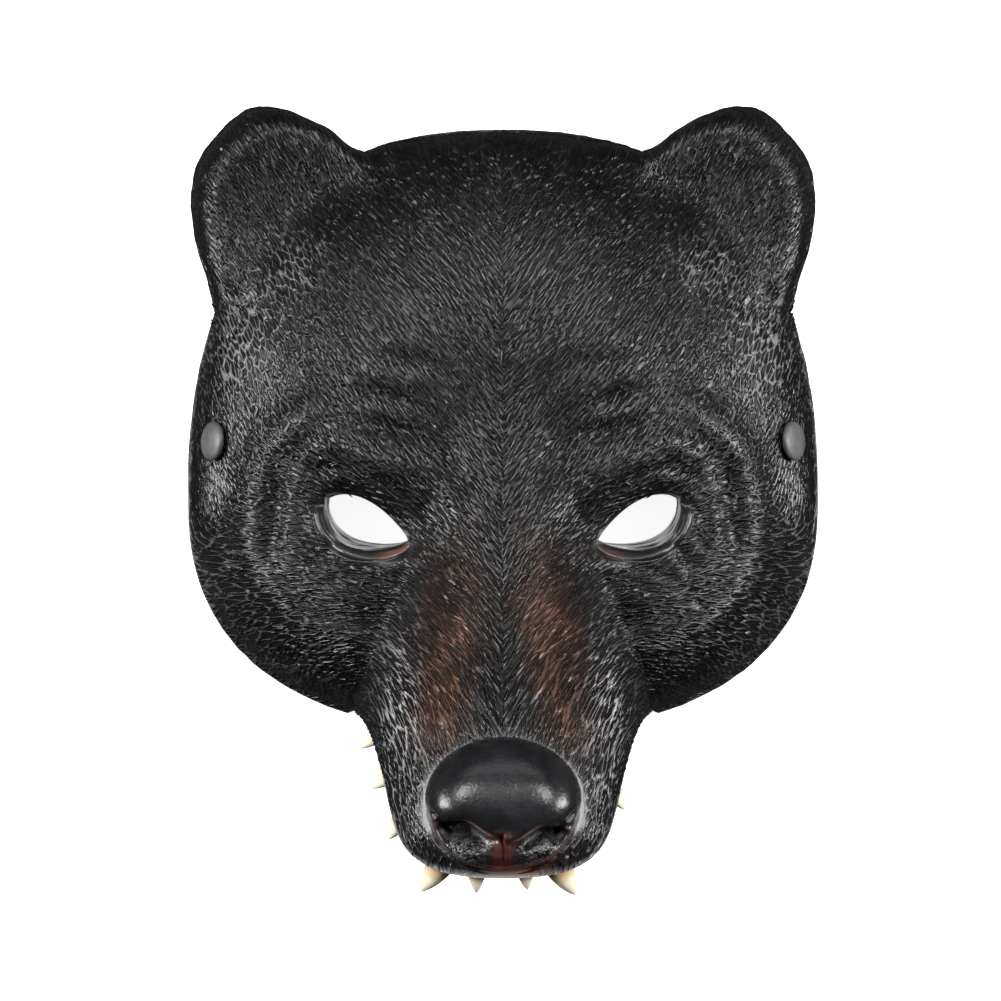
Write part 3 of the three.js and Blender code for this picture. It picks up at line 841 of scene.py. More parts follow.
def brown_share(x, y):
    """Two bands beside the parting, the inner corners of the eyes and the middle of the lip."""
    over = y + BROWN_DROP
    middle = np.where(x < 0, 15.0 - 0.14 * over, 14.0 - 0.22 * over)
    band = bell((np.abs(x) - middle) / BROWN_HALF_WIDTH) * bell(over / BROWN_HALF_LENGTH)
    band = band * ease(-76.0, -62.0, y)
    corner = np.where(x < 0, 0.4, 0.15) * bell((np.abs(x) - 26.0) / 4.5) * bell((y + 14.5) / 3.2)
    lip = bell((x - 4.0) / 11.0) * ease(-92.0, -97.0, y)
    return np.clip(band + corner + lip, 0.0, 1.0)


def drybrush_and_painted_sheen_share(x, y):
    """Pale dry-brushed places with painted sheen, and painted highlights on the ridges of the rings round the
    eyes.
    """
    around = np.maximum(np.hypot(np.abs(x) - EYE_SPREAD, y + EYE_DROP), 0.01)
    rings = 0.5 * bell((around - CHEEK_RING_RADIUS) / 2.6)
    rings = rings + 0.35 * bell((around - SOCKET_RING_RADIUS) / 2.2)
    ridge = rings * ease(0.2, 0.7, (np.abs(x) - EYE_SPREAD) / around)
    return np.clip(patches(DRYBRUSH_AND_PAINTED_SHEEN_ROWS, x, y) + ridge, 0.0, 1.0)


def net_share(x, y):
    """Where ridges meet in a net round long pits instead of lying as single strands."""
    return np.clip(patches(NET_ROWS, x, y), 0.0, 1.0)


def painted_shade_and_parting_share(x, y):
    """Painted shade in the hollow of the ear, over the socket and the brow and over the middle of the face;
    the parting down the muzzle is darker too.
    """
    out = np.hypot(np.abs(x) - EAR_SPREAD + 6.0, y - EAR_RISE + 4.0) / EAR_RADIUS
    ear = 0.5 * (1.0 - ease(0.3, 0.85, out)) * ease(52.0, 66.0, y)
    stripe = 0.9 * bell(x / 4.5) * ease(-12.0, -24.0, y)
    middle = 0.62 * bell(x / 30.0) * bell((y - 10.0) / 34.0)
    along, above = eye_frame(x, y)
    socket = 0.55 * bell(along / 20.0) * bell((above - 4.0) / 8.0)
    return np.clip(ear + stripe + middle + socket, 0.0, 1.0)


SHARES = {
    "nose": nose_share,
    "fur": fur_share,
    "brown": brown_share,
    "drybrush_and_painted_sheen": drybrush_and_painted_sheen_share,
    "net": net_share,
    "painted_shade_and_parting": painted_shade_and_parting_share,
}
LEFT_FLOW_SHIFT = 400.0
FUR_MAP_SCALE = 0.01


def store(mesh, name, values, kind="FLOAT"):
    attribute = mesh.attributes.new(name, kind, "POINT")
    field = "value" if kind == "FLOAT" else "vector"
    attribute.data.foreach_set(field, np.asarray(values, np.float32).ravel())


def flow_coordinates(points, side):
    x, y = np.abs(points[:, 0]), points[:, 1]
    across = read_grid(ACROSS_GRID, x, y)
    along = read_grid(ALONG_GRID, x, y)
    return np.stack([np.where(side > 0, across, -across - LEFT_FLOW_SHIFT), along], axis=1)


def add_shares(mesh):
    points = read_values(mesh.vertices, "co", 3)
    x, y, z = points.T
    for name, share in SHARES.items():
        store(mesh, name, share(x, y))
    store(mesh, "layer", np.clip((surface_height(x, y) - z) / WALL, 0.0, 1.2))
    store(mesh, "flow", np.column_stack([flow_coordinates(points, x), z]), "FLOAT_VECTOR")


def add_wear_and_highlight(mesh, rim):
    """How close a point is to the edge of the rim, from 0 to 1: the rim edge is coloured lighter, as wear
    with a painted highlight.
    """
    tree = kdtree.KDTree(len(rim))
    for index, point in enumerate(rim):
        tree.insert(point, index)
    tree.balance()
    away = np.array([tree.find(vertex.co)[2] for vertex in mesh.vertices])
    store(mesh, "worn", bell(away / WORN_AND_HIGHLIGHT_WIDTH))


def add_fur_map(mesh):
    """UV map that runs across and along the fur, in tenths of a metre, split at the parting."""
    points = read_values(mesh.vertices, "co", 3)
    corners = read_values(mesh.loops, "vertex_index", 1, int)
    totals = read_values(mesh.polygons, "loop_total", 1, int)
    side = np.repeat(read_values(mesh.polygons, "center", 3)[:, 0], totals)
    layer = mesh.uv_layers.new(name="FurMap")
    flow = flow_coordinates(points[corners], side) * FUR_MAP_SCALE
    layer.data.foreach_set("uv", flow.ravel())


# Shell: relief of clumps along the fur on the outer face
def new_group(name, inputs):
    """Geometry Nodes tree with named inputs: its graph and its inputs as values by name."""
    tree = bpy.data.node_groups.new(name, "GeometryNodeTree")
    tree.interface.new_socket(name="Geometry", in_out="INPUT", socket_type="NodeSocketGeometry")
    for key, value in inputs.items():
        kind = "NodeSocketInt" if isinstance(value, int) else "NodeSocketFloat"
        kind = "NodeSocketMaterial" if value is None else kind
        socket = tree.interface.new_socket(name=key, in_out="INPUT", socket_type=kind)
        if value is not None:
            socket.default_value = value
    tree.interface.new_socket(name="Geometry", in_out="OUTPUT", socket_type="NodeSocketGeometry")
    graph = Graph(tree)
    entry = tree.nodes.new("NodeGroupInput")
    return graph, {socket.name: Value(graph, socket) for socket in entry.outputs if socket.name}


def finish_group(graph, geometry, material):
    """Ends the tree with real geometry, in one material where one is given."""
    real = graph.node("GeometryNodeRealizeInstances", None, {"Geometry": geometry})
    if material:
        real = graph.node("GeometryNodeSetMaterial", None, {"Geometry": real, "Material": material})
    out = graph.tree.nodes.new("NodeGroupOutput")
    graph.tree.links.new(real.socket, out.inputs[0])


def applied(graph, source, name, values):
    """Plain mesh object of the tree's result on a source mesh."""
    carrier = new_object(name, source)
    step = carrier.modifiers.new("nodes", "NODES")
    step.node_group = graph.tree
    for item in graph.tree.interface.items_tree:
        if item.in_out == "INPUT" and item.name in values:
            step[item.identifier] = values[item.name]
    scene_graph = bpy.context.evaluated_depsgraph_get()
    mesh = bpy.data.meshes.new_from_object(
        carrier.evaluated_get(scene_graph), preserve_all_data_layers=True, depsgraph=scene_graph
    )
    carrier.modifiers.remove(step)
    carrier.data = mesh
    return carrier


def attribute_value(graph, name, kind="FLOAT"):
    return graph.node("GeometryNodeInputNamedAttribute", {"data_type": kind}, {"Name": name})


RELIEF_SIZES = {"Clump Width": 3.2, "Clump Height": 0.55, "Pebble Height": 0.05}
STRAND_SIZES = {
    "Spacing": 1.48, "Length": 5.4, "Width": 0.74, "Height": 0.76, "Sink": 0.2, "Lift": 0.1, "Seed": 7,
}
CLUMP_STRETCH = 3.4
STRAND_SWING = 0.14
STRAND_SCALES = (0.72, 1.18)


def random_value(graph, low, high, seed):
    settings = {"data_type": "FLOAT"}
    return graph.node("FunctionNodeRandomValue", settings, {2: low, 3: high, "Seed": seed}, output=1)


def point_attribute(graph, geometry, name, value, domain="POINT"):
    """Geometry with a value of its own stored by name."""
    settings = {"data_type": "FLOAT", "domain": domain}
    inputs = {"Geometry": geometry, "Name": name, "Value": value}
    return graph.node("GeometryNodeStoreNamedAttribute", settings, inputs)


def relief_tree():
    """Raises clumps of fur along the flow and pebbles on the nose."""
    graph, given = new_group("Moulded relief", RELIEF_SIZES)
    flow = attribute_value(graph, "flow", "FLOAT_VECTOR")
    split = graph.node("ShaderNodeSeparateXYZ", None, {0: flow})
    across = split.output("X") / given["Clump Width"]
    along = split.output("Y") / (given["Clump Width"] * CLUMP_STRETCH)
    place = graph.vector(across, along, 0.0)
    clump = graph.node(
        "ShaderNodeTexNoise", {"noise_dimensions": "3D"},
        {"Vector": place, "Scale": 1.0, "Detail": 2.0, "Roughness": 0.5, "Distortion": 0.4},
    )
    fur = attribute_value(graph, "fur")
    outer = attribute_value(graph, "outer")
    raised = (clump - 0.5) * given["Clump Height"] * 2.0 * fur
    position = graph.node("GeometryNodeInputPosition")
    pebble = graph.node(
        "ShaderNodeTexNoise", {"noise_dimensions": "3D"}, {"Vector": position, "Scale": 0.9, "Detail": 1.0}
    )
    raised = raised + (pebble - 0.5) * given["Pebble Height"] * attribute_value(graph, "nose")
    height = raised * outer
    normal = graph.node("GeometryNodeInputNormal")
    offset = graph.node("ShaderNodeVectorMath", {"operation": "SCALE"}, {0: normal, "Scale": height})
    moved = graph.node("GeometryNodeSetPosition", None, {"Geometry": given["Geometry"], "Offset": offset})
    finish_group(graph, moved, None)
    return graph


def strand_tree():
    """Short tapered strands of moulded fur, set along the flow over a carrier face."""
    graph, given = new_group("Moulded strands", {**STRAND_SIZES, "Material": None})
    inputs = {"Size X": 1.0, "Size Y": 1.0, "Vertices X": 3, "Vertices Y": 6}
    grid = graph.node("GeometryNodeMeshGrid", None, inputs)
    position = graph.node("GeometryNodeInputPosition")
    split = graph.node("ShaderNodeSeparateXYZ", None, {0: position})
    way = split.output("Y") + 0.5
    side = split.output("X") * 2.0
    taper = (way * 1.08 + 0.02) ** 0.6 * ((1.04 - way) ** 0.75) * 1.55
    crest = 1.0 - side * side
    bend = (way * math.tau).math("SINE") * 0.05
    place = graph.vector(
        side * taper * 0.5 * given["Width"] + bend * given["Width"],
        split.output("Y") * given["Length"],
        crest * taper * given["Height"] - given["Sink"] + way * given["Lift"],
    )
    inputs = {"Geometry": grid.output("Mesh"), "Position": place}
    strand = graph.node("GeometryNodeSetPosition", None, inputs)
    # Lighter along the crest and darker at the root of each strand: dry-brushed paint with painted highlight
    # and shade
    crest_drybrush_and_painted_light = crest * way.ease(0.0, 0.35) * (1.0 - way.ease(0.75, 1.0) * 0.5)
    strand = point_attribute(graph, strand, "crest", crest_drybrush_and_painted_light)
    strand = graph.node("GeometryNodeSetShadeSmooth", None, {"Geometry": strand})
    grow = attribute_value(graph, "grow")
    points = graph.node(
        "GeometryNodeDistributePointsOnFaces", {"distribute_method": "POISSON"},
        {
            "Mesh": given["Geometry"], "Distance Min": given["Spacing"], "Density Max": 1.2,
            "Density Factor": grow.ease(0.35, 0.7), "Seed": given["Seed"],
        },
    )
    upright = graph.node(
        "FunctionNodeAlignRotationToVector", {"axis": "Z"}, {"Vector": points.output("Normal")}
    )
    turned = graph.node(
        "FunctionNodeAlignRotationToVector", {"axis": "Y", "pivot_axis": "Z"},
        {"Rotation": upright, "Vector": attribute_value(graph, "lie", "FLOAT_VECTOR")},
    )
    spin = random_value(graph, -STRAND_SWING, STRAND_SWING, given["Seed"])
    sweep = graph.node("FunctionNodeEulerToRotation", None, {0: graph.vector(0.05, 0.0, spin)})
    turned = graph.node("FunctionNodeRotateRotation", {"rotation_space": "LOCAL"}, {0: turned, 1: sweep})
    size = random_value(graph, *STRAND_SCALES, given["Seed"] + 3) * attribute_value(graph, "size")
    scale = graph.vector(size * 0.5 + 0.5, size, size * 0.4 + 0.6)
    set_strands = graph.node(
        "GeometryNodeInstanceOnPoints", None,
        {"Points": points, "Instance": strand, "Rotation": turned, "Scale": scale},
    )
    tone = random_value(graph, 0.0, 1.0, given["Seed"] + 11)
    set_strands = point_attribute(graph, set_strands, "tone", tone, "INSTANCE")
    finish_group(graph, set_strands, given["Material"])
    return graph


# Colours
BLACK = (0.0034, 0.0034, 0.0038, 1.0)
# Grey of the raised fur: dry-brushed paint with painted highlight
GREY = (0.046, 0.046, 0.048, 1.0)
# Pale of dry-brushed paint and of painted sheen
DRYBRUSH_AND_SHEEN_PALE = (0.36, 0.36, 0.365, 1.0)
BROWN = (0.16, 0.068, 0.036, 1.0)
# Lighter rim edge: wear with a painted highlight
WORN_AND_HIGHLIGHT_GREY = (0.3, 0.3, 0.305, 1.0)
NOSE_BLACK = (0.0035, 0.0036, 0.0044, 1.0)
NOSE_DARK_GREY = (0.008, 0.008, 0.0095, 1.0)
SEPTUM_RED = (0.07, 0.016, 0.011, 1.0)
NOSTRIL_BLACK = (0.004, 0.002, 0.002, 1.0)
# Grey speckle of painted sparkle on the nose lobes
LOBE_PAINTED_SPARKLE = (0.1, 0.1, 0.105, 1.0)
# Pinkish nostril rim with a painted highlight, also the painted highlight line of the groove
BRIM_PINK_AND_HIGHLIGHT = (0.2, 0.11, 0.1, 1.0)
LID_BLACK = (0.006, 0.006, 0.0065, 1.0)
LID_GREY = (0.013, 0.013, 0.0135, 1.0)
FOAM_DARK = (0.014, 0.014, 0.015, 1.0)
FOAM_LIGHT = (0.028, 0.028, 0.029, 1.0)
CUT_DARK = (0.018, 0.018, 0.019, 1.0)
# Pale grey of the lit cut foam: painted light
CUT_PAINTED_LIGHT = (0.32, 0.32, 0.33, 1.0)
IVORY = (0.72, 0.66, 0.5, 1.0)
IVORY_STAIN = (0.33, 0.2, 0.085, 1.0)
CAP_DARK = (0.05, 0.05, 0.052, 1.0)
CAP_LIGHT = (0.075, 0.075, 0.078, 1.0)
PAINT_SHINE = 0.36
# Strokes and net of the painted fur: cells across and along the fur on each metre of the map
STROKE_CELLS = (120.0, 22.0)
NET_CELLS = (88.0, 29.0)
WANDER_CELLS = (22.0, 14.0)


def new_material(name):
    material = bpy.data.materials.new(name)
    material.use_nodes = True
    material.node_tree.nodes.clear()
    return material, Graph(material.node_tree)


def finish_material(graph, shader):
    out = graph.tree.nodes.new("ShaderNodeOutputMaterial")
    graph.tree.links.new(shader.socket, out.inputs["Surface"])


def finish_surface(graph, colour, rough, height, strength, distance, more=None):
    """Ends a material with its colour, its roughness and the bump of a height."""
    inputs = {"Strength": strength, "Distance": distance, "Height": height}
    bump = graph.node("ShaderNodeBump", None, inputs)
    inputs = {"Base Color": colour, "Roughness": rough, "Normal": bump}
    finish_material(graph, graph.node("ShaderNodeBsdfPrincipled", None, inputs | (more or {})))


def shader_attribute(graph, name):
    return graph.node("ShaderNodeAttribute", {"attribute_name": name}).output("Fac")


def own_place(graph):
    return graph.node("ShaderNodeTexCoord").output("Object")


def noise(graph, place, scale, detail=2.0, roughness=0.5, distortion=0.0):
    inputs = {"Vector": place, "Scale": scale, "Detail": detail}
    inputs |= {"Roughness": roughness, "Distortion": distortion}
    return graph.node("ShaderNodeTexNoise", {"noise_dimensions": "3D"}, inputs)


def stretched(graph, across, along):
    """Place on the fur map, in cells: so many across and so many along."""
    flat = graph.node("ShaderNodeUVMap", {"uv_map": "FurMap"})
    inputs = {0: flat, 1: (across, along, 0.0)}
    return graph.node("ShaderNodeVectorMath", {"operation": "MULTIPLY"}, inputs)


def net_height(graph):
    """Ridges that meet in a net round long pits, from 0 in a pit to 1 on a ridge."""
    wander = noise(graph, stretched(graph, *WANDER_CELLS), 1.0, 1.0)
    inputs = {0: stretched(graph, *NET_CELLS), 1: wander * 0.8}
    place = graph.node("ShaderNodeVectorMath", {"operation": "ADD"}, inputs)
    settings = {"feature": "DISTANCE_TO_EDGE"}
    edge = graph.node("ShaderNodeTexVoronoi", settings, {"Vector": place, "Scale": 1.0})
    return 1.0 - edge.ease(0.0, 0.25)


def coat_colour(graph, raised):
    """Colour of the painted fur: dark in the gaps and grey on what is raised, as dry-brushed paint with
    painted shade and highlight; brown in places, and pale with dry-brushing and painted sheen in places.
    """
    patch = noise(graph, own_place(graph), 38.0, 3.0, 0.6)
    # Painted shade: darker in the ear hollow, over the socket and brow and over the middle of the face, and
    # along the parting
    painted_shade_and_parting = shader_attribute(graph, "painted_shade_and_parting")
    lit = raised * (1.0 - painted_shade_and_parting * 0.75) * (patch.ease(0.25, 0.75) * 0.75 + 0.35)
    colour = graph.mix(lit.ease(0.1, 1.1), BLACK, GREY)
    # Pale dry-brushed paint with painted sheen on what is raised, in places
    drybrush_and_painted_sheen = shader_attribute(graph, "drybrush_and_painted_sheen") * raised.ease(0.25, 0.9)
    colour = graph.mix(drybrush_and_painted_sheen, colour, DRYBRUSH_AND_SHEEN_PALE)
    brown = shader_attribute(graph, "brown") * (patch.ease(0.3, 0.62) * 0.7 + 0.3)
    colour = graph.mix(brown * (raised.ease(0.05, 0.7) * 0.85 + 0.1), colour, BROWN)
    return colour, patch


def shell_material():
    material, graph = new_material("painted_foam_skin")
    strokes = noise(graph, stretched(graph, *STROKE_CELLS), 1.0, 2.0, 0.55, 0.25)
    net = net_height(graph)
    # Ridges lighter than the pits: dry-brushed paint with painted highlight, and painted shade in the pits
    raised = net * 0.75 + strokes.ease(0.4, 0.7) * 0.25
    fur = shader_attribute(graph, "fur")
    colour, patch = coat_colour(graph, raised * (shader_attribute(graph, "net") * 0.5 + 0.6))
    nose = shader_attribute(graph, "nose")
    pebble = noise(graph, own_place(graph), 1300.0, 2.0)
    skin = graph.mix(shader_attribute(graph, "brown").ease(0.35, 1.0) * 0.8, BLACK, BROWN)
    colour = graph.mix(fur, skin, colour)
    # Lighter rim edge: wear with a painted highlight
    worn = shader_attribute(graph, "worn") * (patch.ease(0.3, 0.6) * 0.5 + 0.5)
    colour = graph.mix(worn, colour, WORN_AND_HIGHLIGHT_GREY)
    rough = nose * -0.1 + 0.34 + (patch - 0.5) * 0.16
    height = (net * 0.0009 + strokes * 0.00025) * fur + pebble * 0.00006
    more = {"Coat Weight": nose * 0.5, "Coat Roughness": 0.2, "Specular IOR Level": PAINT_SHINE}
    finish_surface(graph, colour, rough, height, 1.0, 1.0, more)
    return material


def nose_material():
    """Wet-looking black skin of the nose, pebbled, reddish at the septum and the lip, with painted sparkle on
    the lobes and a pinkish line of painted highlight along the nostril rims and the groove.
    """
    material, graph = new_material("glossy_nose_skin")
    place = own_place(graph)
    inputs = {"Vector": place, "Scale": 1000.0, "Smoothness": 0.7}
    pebble = graph.node("ShaderNodeTexVoronoi", {"feature": "SMOOTH_F1"}, inputs)
    fine = noise(graph, place, 2600.0, 2.0)
    broad = noise(graph, place, 160.0, 3.0, 0.6)
    speckle = noise(graph, place, 480.0, 3.0, 0.65)
    red = shader_attribute(graph, "red")
    colour = graph.mix(broad.ease(0.35, 0.7), NOSE_BLACK, NOSE_DARK_GREY)
    colour = graph.mix(red * (broad.ease(0.25, 0.6) * 0.6 + 0.4), colour, SEPTUM_RED)
    cave = shader_attribute(graph, "cave").ease(0.15, 0.7)
    colour = graph.mix(cave * 0.9, colour, NOSTRIL_BLACK)
    # Grey speckles on the lobes: painted sparkle highlights
    lobe = shader_attribute(graph, "lobe")
    colour = graph.mix(lobe * speckle.ease(0.4, 0.62) * 0.8, colour, LOBE_PAINTED_SPARKLE)
    # Pinkish nostril rims and groove line, lightened as a painted highlight
    line = shader_attribute(graph, "line")
    colour = graph.mix(line * (broad.ease(0.2, 0.6) * 0.5 + 0.4), colour, BRIM_PINK_AND_HIGHLIGHT)
    rough = 0.29 + (speckle - 0.5) * 0.16 + cave * 0.4 - lobe * 0.12
    height = pebble * -0.00005 + fine * 0.00002 + speckle * 0.00007 + (speckle + pebble) * lobe * 0.0012
    more = {
        "Coat Weight": (1.0 - cave) * 0.06, "Coat Roughness": 0.3, "Specular IOR Level": PAINT_SHINE,
    }
    finish_surface(graph, colour, rough, height, 0.9, 1.0, more)
    return material


def lid_material():
    """Smooth black skin of the lower lids, tan at the inner corner."""
    material, graph = new_material("smooth_lid_skin")
    place = own_place(graph)
    grain = noise(graph, place, 700.0, 3.0, 0.6)
    broad = noise(graph, place, 150.0, 2.0)
    colour = graph.mix(broad.ease(0.3, 0.7), LID_BLACK, LID_GREY)
    tan = shader_attribute(graph, "tan") * (broad.ease(0.2, 0.6) * 0.5 + 0.5)
    colour = graph.mix(tan, colour, BROWN)
    finish_surface(graph, colour, 0.36 + (grain - 0.5) * 0.2, grain, 0.5, 0.0003)
    return material


def strand_material():
    material, graph = new_material("painted_fur_strands")
    crest = shader_attribute(graph, "crest")
    tone = shader_attribute(graph, "tone")
    # Strand colour lighter on the crest, darker at the root: dry-brushed paint with painted highlight and
    # shade
    raised = crest * crest * (tone * tone * 1.3 + 0.3)
    colour, patch = coat_colour(graph, raised)
    fine = noise(graph, own_place(graph), 900.0, 2.0)
    rough = 0.19 + (patch - 0.5) * 0.12 + (fine - 0.5) * 0.08
    finish_surface(graph, colour, rough, fine, 0.6, 0.0003, {"Specular IOR Level": PAINT_SHINE})
    return material


def inside_material():
    """Plain foam of the inner face, with fine pores."""
    material, graph = new_material("bare_foam_inside")
    place = own_place(graph)
    pores = noise(graph, place, 900.0, 3.0, 0.6)
    broad = noise(graph, place, 60.0, 3.0, 0.5)
    colour = graph.mix(broad.ease(0.3, 0.7), FOAM_DARK, FOAM_LIGHT)
    finish_surface(graph, colour, 0.72 + (pores - 0.5) * 0.2, pores, 0.5, 0.0004)
    return material


def cut_material():
    """Trimmed edge of the eye holes, layered along the wall, with pale grey lines of painted light on the
    black foam.
    """
    material, graph = new_material("cut_foam_edge")
    flat = graph.node("ShaderNodeSeparateXYZ", None, {0: own_place(graph)})
    layer = shader_attribute(graph, "layer")
    layered = graph.vector(flat.output("X") * 110.0, flat.output("Y") * 110.0, layer * 8.0)
    lines = noise(graph, layered, 1.0, 2.0, 0.6)
    # Pale grey lines on the black foam of the cut: painted light
    lit = lines.ease(0.36, 0.6) * layer.ease(0.0, 0.25)
    colour = graph.mix(lit, CUT_DARK, CUT_PAINTED_LIGHT)
    finish_surface(graph, colour, 0.42 + (lines - 0.5) * 0.2, lines, 0.7, 0.0004)
    return material


def tooth_material():
    """Ivory, stained towards the root."""
    material, graph = new_material("ivory_tooth")
    root = shader_attribute(graph, "root")
    streak = noise(graph, own_place(graph), 420.0, 3.0, 0.6)
    stain = root.ease(0.35, 1.0) * 0.9 + (streak - 0.5) * 0.5
    colour = graph.mix(stain.ease(0.0, 1.0), IVORY, IVORY_STAIN)
    more = {
        "Coat Weight": 0.3, "Coat Roughness": 0.15, "Subsurface Weight": 0.08,
        "Subsurface Scale": 0.002,
    }
    finish_surface(graph, colour, 0.3 + (streak - 0.5) * 0.15, streak, 0.25, 0.0003, more)
    return material


def rivet_material():
    material, graph = new_material("satin_snap_cap")
    place = own_place(graph)
    grain = noise(graph, place, 700.0, 3.0, 0.6)
    worn = noise(graph, place, 150.0, 2.0, 0.6)
    colour = graph.mix(worn.ease(0.35, 0.7), CAP_DARK, CAP_LIGHT)
    rough = 0.5 + (grain - 0.5) * 0.15
    finish_surface(graph, colour, rough, grain, 0.3, 0.0002, {"Metallic": 0.2})
    return material


# Pieces
def packed(mesh, eye_line):
    """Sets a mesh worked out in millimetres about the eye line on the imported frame, in metres."""
    mesh.transform(Matrix.Diagonal((MM, MM, MM, 1.0)) @ Matrix.Translation((0.0, eye_line, 0.0)))
    mesh.update()


def smooth(mesh, angle=None):
    mesh.shade_smooth()
    if angle is not None:
        mesh.set_sharp_from_angle(angle=math.radians(angle))


def finished(piece, material_slot, *nodes):
    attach(piece, "root")
    if nodes:
        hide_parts(*nodes)
    return piece


EYE_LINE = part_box("mask_shell")[0][1] / MM + LIP_DROP
SHARP_DEGREES = 50


def carrier_mesh(outer):
    """Open outer face at half its fineness, with the attributes that strands are set by."""
    part = outer[::2]
    rings = list(range(2, RING_COUNT - 1, 2))
    count = len(part)
    points = np.vstack([part[0, :1], part[:, rings].transpose(1, 0, 2).reshape(-1, 3)])
    mesh = new_mesh("strand_carrier", points, fan_faces(count, len(rings), 0, False))
    add_shares(mesh)
    x, y = points[:, 0], points[:, 1]
    along_x, along_y = flow_direction(np.abs(x), y)
    along_x = along_x * np.where(x < 0, -1.0, 1.0)
    normals = read_values(mesh.vertex_normals, "vector", 3)
    steep = np.maximum(normals[:, 2], 0.12)
    rise = -(normals[:, 0] * along_x + normals[:, 1] * along_y) / steep
    store(mesh, "lie", unit(np.stack([along_x, along_y, rise], axis=1)), "FLOAT_VECTOR")
    muzzle = ease(-36.0, -58.0, y) * ease(44.0, 30.0, np.abs(x))
    along, above = eye_frame(x, y)
    near_eye = bell(np.hypot(along / 24.0, above / 17.0))
    store(mesh, "size", 1.0 - 0.34 * muzzle - 0.3 * near_eye)
    ring_share = np.concatenate([[0.0], np.repeat(np.array(rings) / RING_COUNT, count)])
    start = np.where(y > 58.0, 0.9, 0.945)
    fade = (1.0 - ease(start, start + 0.03, ring_share)) * ease(1.0, 5.0, points[:, 2])
    store(mesh, "grow", fur_share(x, y) * fade * (1.0 - 0.56 * net_share(x, y)))
    return mesh


def part_of(mesh, name, keep):
    """Copy of a mesh with only the faces whose middle is kept."""
    form = bmesh.new()
    form.from_mesh(mesh)
    gone = [face for face in form.faces if not keep(face.calc_center_median())]
    bmesh.ops.delete(form, geom=gone, context="FACES")
    copy = bpy.data.meshes.new(name)
    form.to_mesh(copy)
    form.free()
    return copy


# Teeth: name, side, way along the mouth, length, width, splay
TOOTH_ROWS = [
    ("cheek_tooth_left_1", -1, 0.23, 8.6, 8.0, 1.4),
    ("cheek_tooth_left_2", -1, 0.45, 8.6, 8.0, 1.3),
    ("cheek_tooth_left_3", -1, 0.64, 9.0, 7.6, 0.6),
    ("canine_left", -1, 0.86, 11.34, 7.9, 0.6),
    ("incisor_left", -1, 0.945, 6.5, 5.4, 0.0),
    ("incisor_right", 1, 0.955, 5.5, 5.0, 0.1),
    ("canine_right", 1, 0.88, 10.92, 7.9, 0.5),
    ("cheek_tooth_right_3", 1, 0.64, 8.4, 7.4, 0.1),
    ("cheek_tooth_right_2", 1, 0.52, 8.8, 7.6, 0.7),
    ("cheek_tooth_right_1", 1, 0.23, 8.4, 7.6, 0.4),
]
TOOTH_ROOT = 3.0
TOOTH_HOOK = 0.6
MOUTH_STEPS = 200
# Snap cap from its inner flange to its crown: share of the radius out from the axis, height over the skin
CAP_RADIUS = 5.5
CAP_PROFILE = [
    (0.0, -5.6), (0.66, -5.6), (0.78, -5.45), (0.82, -5.1), (0.8, -4.7), (0.74, -4.6), (0.36, -4.6),
    (0.36, 1.1), (0.92, 1.1), (0.985, 1.3), (1.0, 1.75), (0.985, 2.15), (0.93, 2.5), (0.82, 2.78),
    (0.64, 3.02), (0.42, 3.22), (0.2, 3.36), (0.0, 3.42),
]
RIVET_SPREAD = 80.4
RIVET_RISE = 16.5
TURNED_SIDES = 64


def basis(point, axis, face):
    """Matrix whose Y axis points along a direction, with its Z axis as near to another as it can be."""
    axis = unit(axis)
    across = unit(np.cross(axis, face))
    out = np.cross(across, axis)
    matrix = Matrix.Identity(4)
    for row in range(3):
        matrix[row] = (across[row], axis[row], out[row], point[row])
    return matrix


def tooth_tree():
    """Conical tooth, a little hooked, standing on the XZ plane along Y."""
    sizes = {"Length": 8.0, "Width": 5.0, "Root": TOOTH_ROOT, "Hook": TOOTH_HOOK}
    graph, given = new_group("Tooth", {**sizes, "Material": None})
    inputs = {"Size X": 1.0, "Size Y": 1.0, "Vertices X": 25, "Vertices Y": 22}
    grid = graph.node("GeometryNodeMeshGrid", None, inputs)
    split = graph.node("ShaderNodeSeparateXYZ", None, {0: graph.node("GeometryNodeInputPosition")})
    turn = (split.output("X") + 0.5) * -2.0 * math.pi
    way = split.output("Y") + 0.5
    taper = (1.0 - way**2.1) ** 0.84
    neck = 1.0 - 0.14 * (1.0 - way.ease(0.0, 0.3))
    flute = 1.0 + 0.035 * (turn * 5.0).math("SINE") * (1.0 - way)
    radius = given["Width"] * 0.5 * taper * neck * flute
    hook = given["Hook"] * way * way
    height = way * (given["Length"] + given["Root"])
    place = graph.vector(
        radius * turn.math("COSINE"), height, radius * turn.math("SINE") * 0.8 + hook
    )
    form = graph.node("GeometryNodeSetPosition", None, {"Geometry": grid, "Position": place})
    form = graph.node("GeometryNodeMergeByDistance", None, {"Geometry": form, "Distance": 0.001})
    form = point_attribute(graph, form, "root", 1.0 - height_share(graph, given))
    form = graph.node("GeometryNodeSetShadeSmooth", None, {"Geometry": form})
    finish_group(graph, form, given["Material"])
    return graph


def height_share(graph, given):
    """Height of a point of the tooth over its root, as a share of its length."""
    place = graph.node("ShaderNodeSeparateXYZ", None, {0: graph.node("GeometryNodeInputPosition")})
    return (place.output("Y") - given["Root"]) / given["Length"]


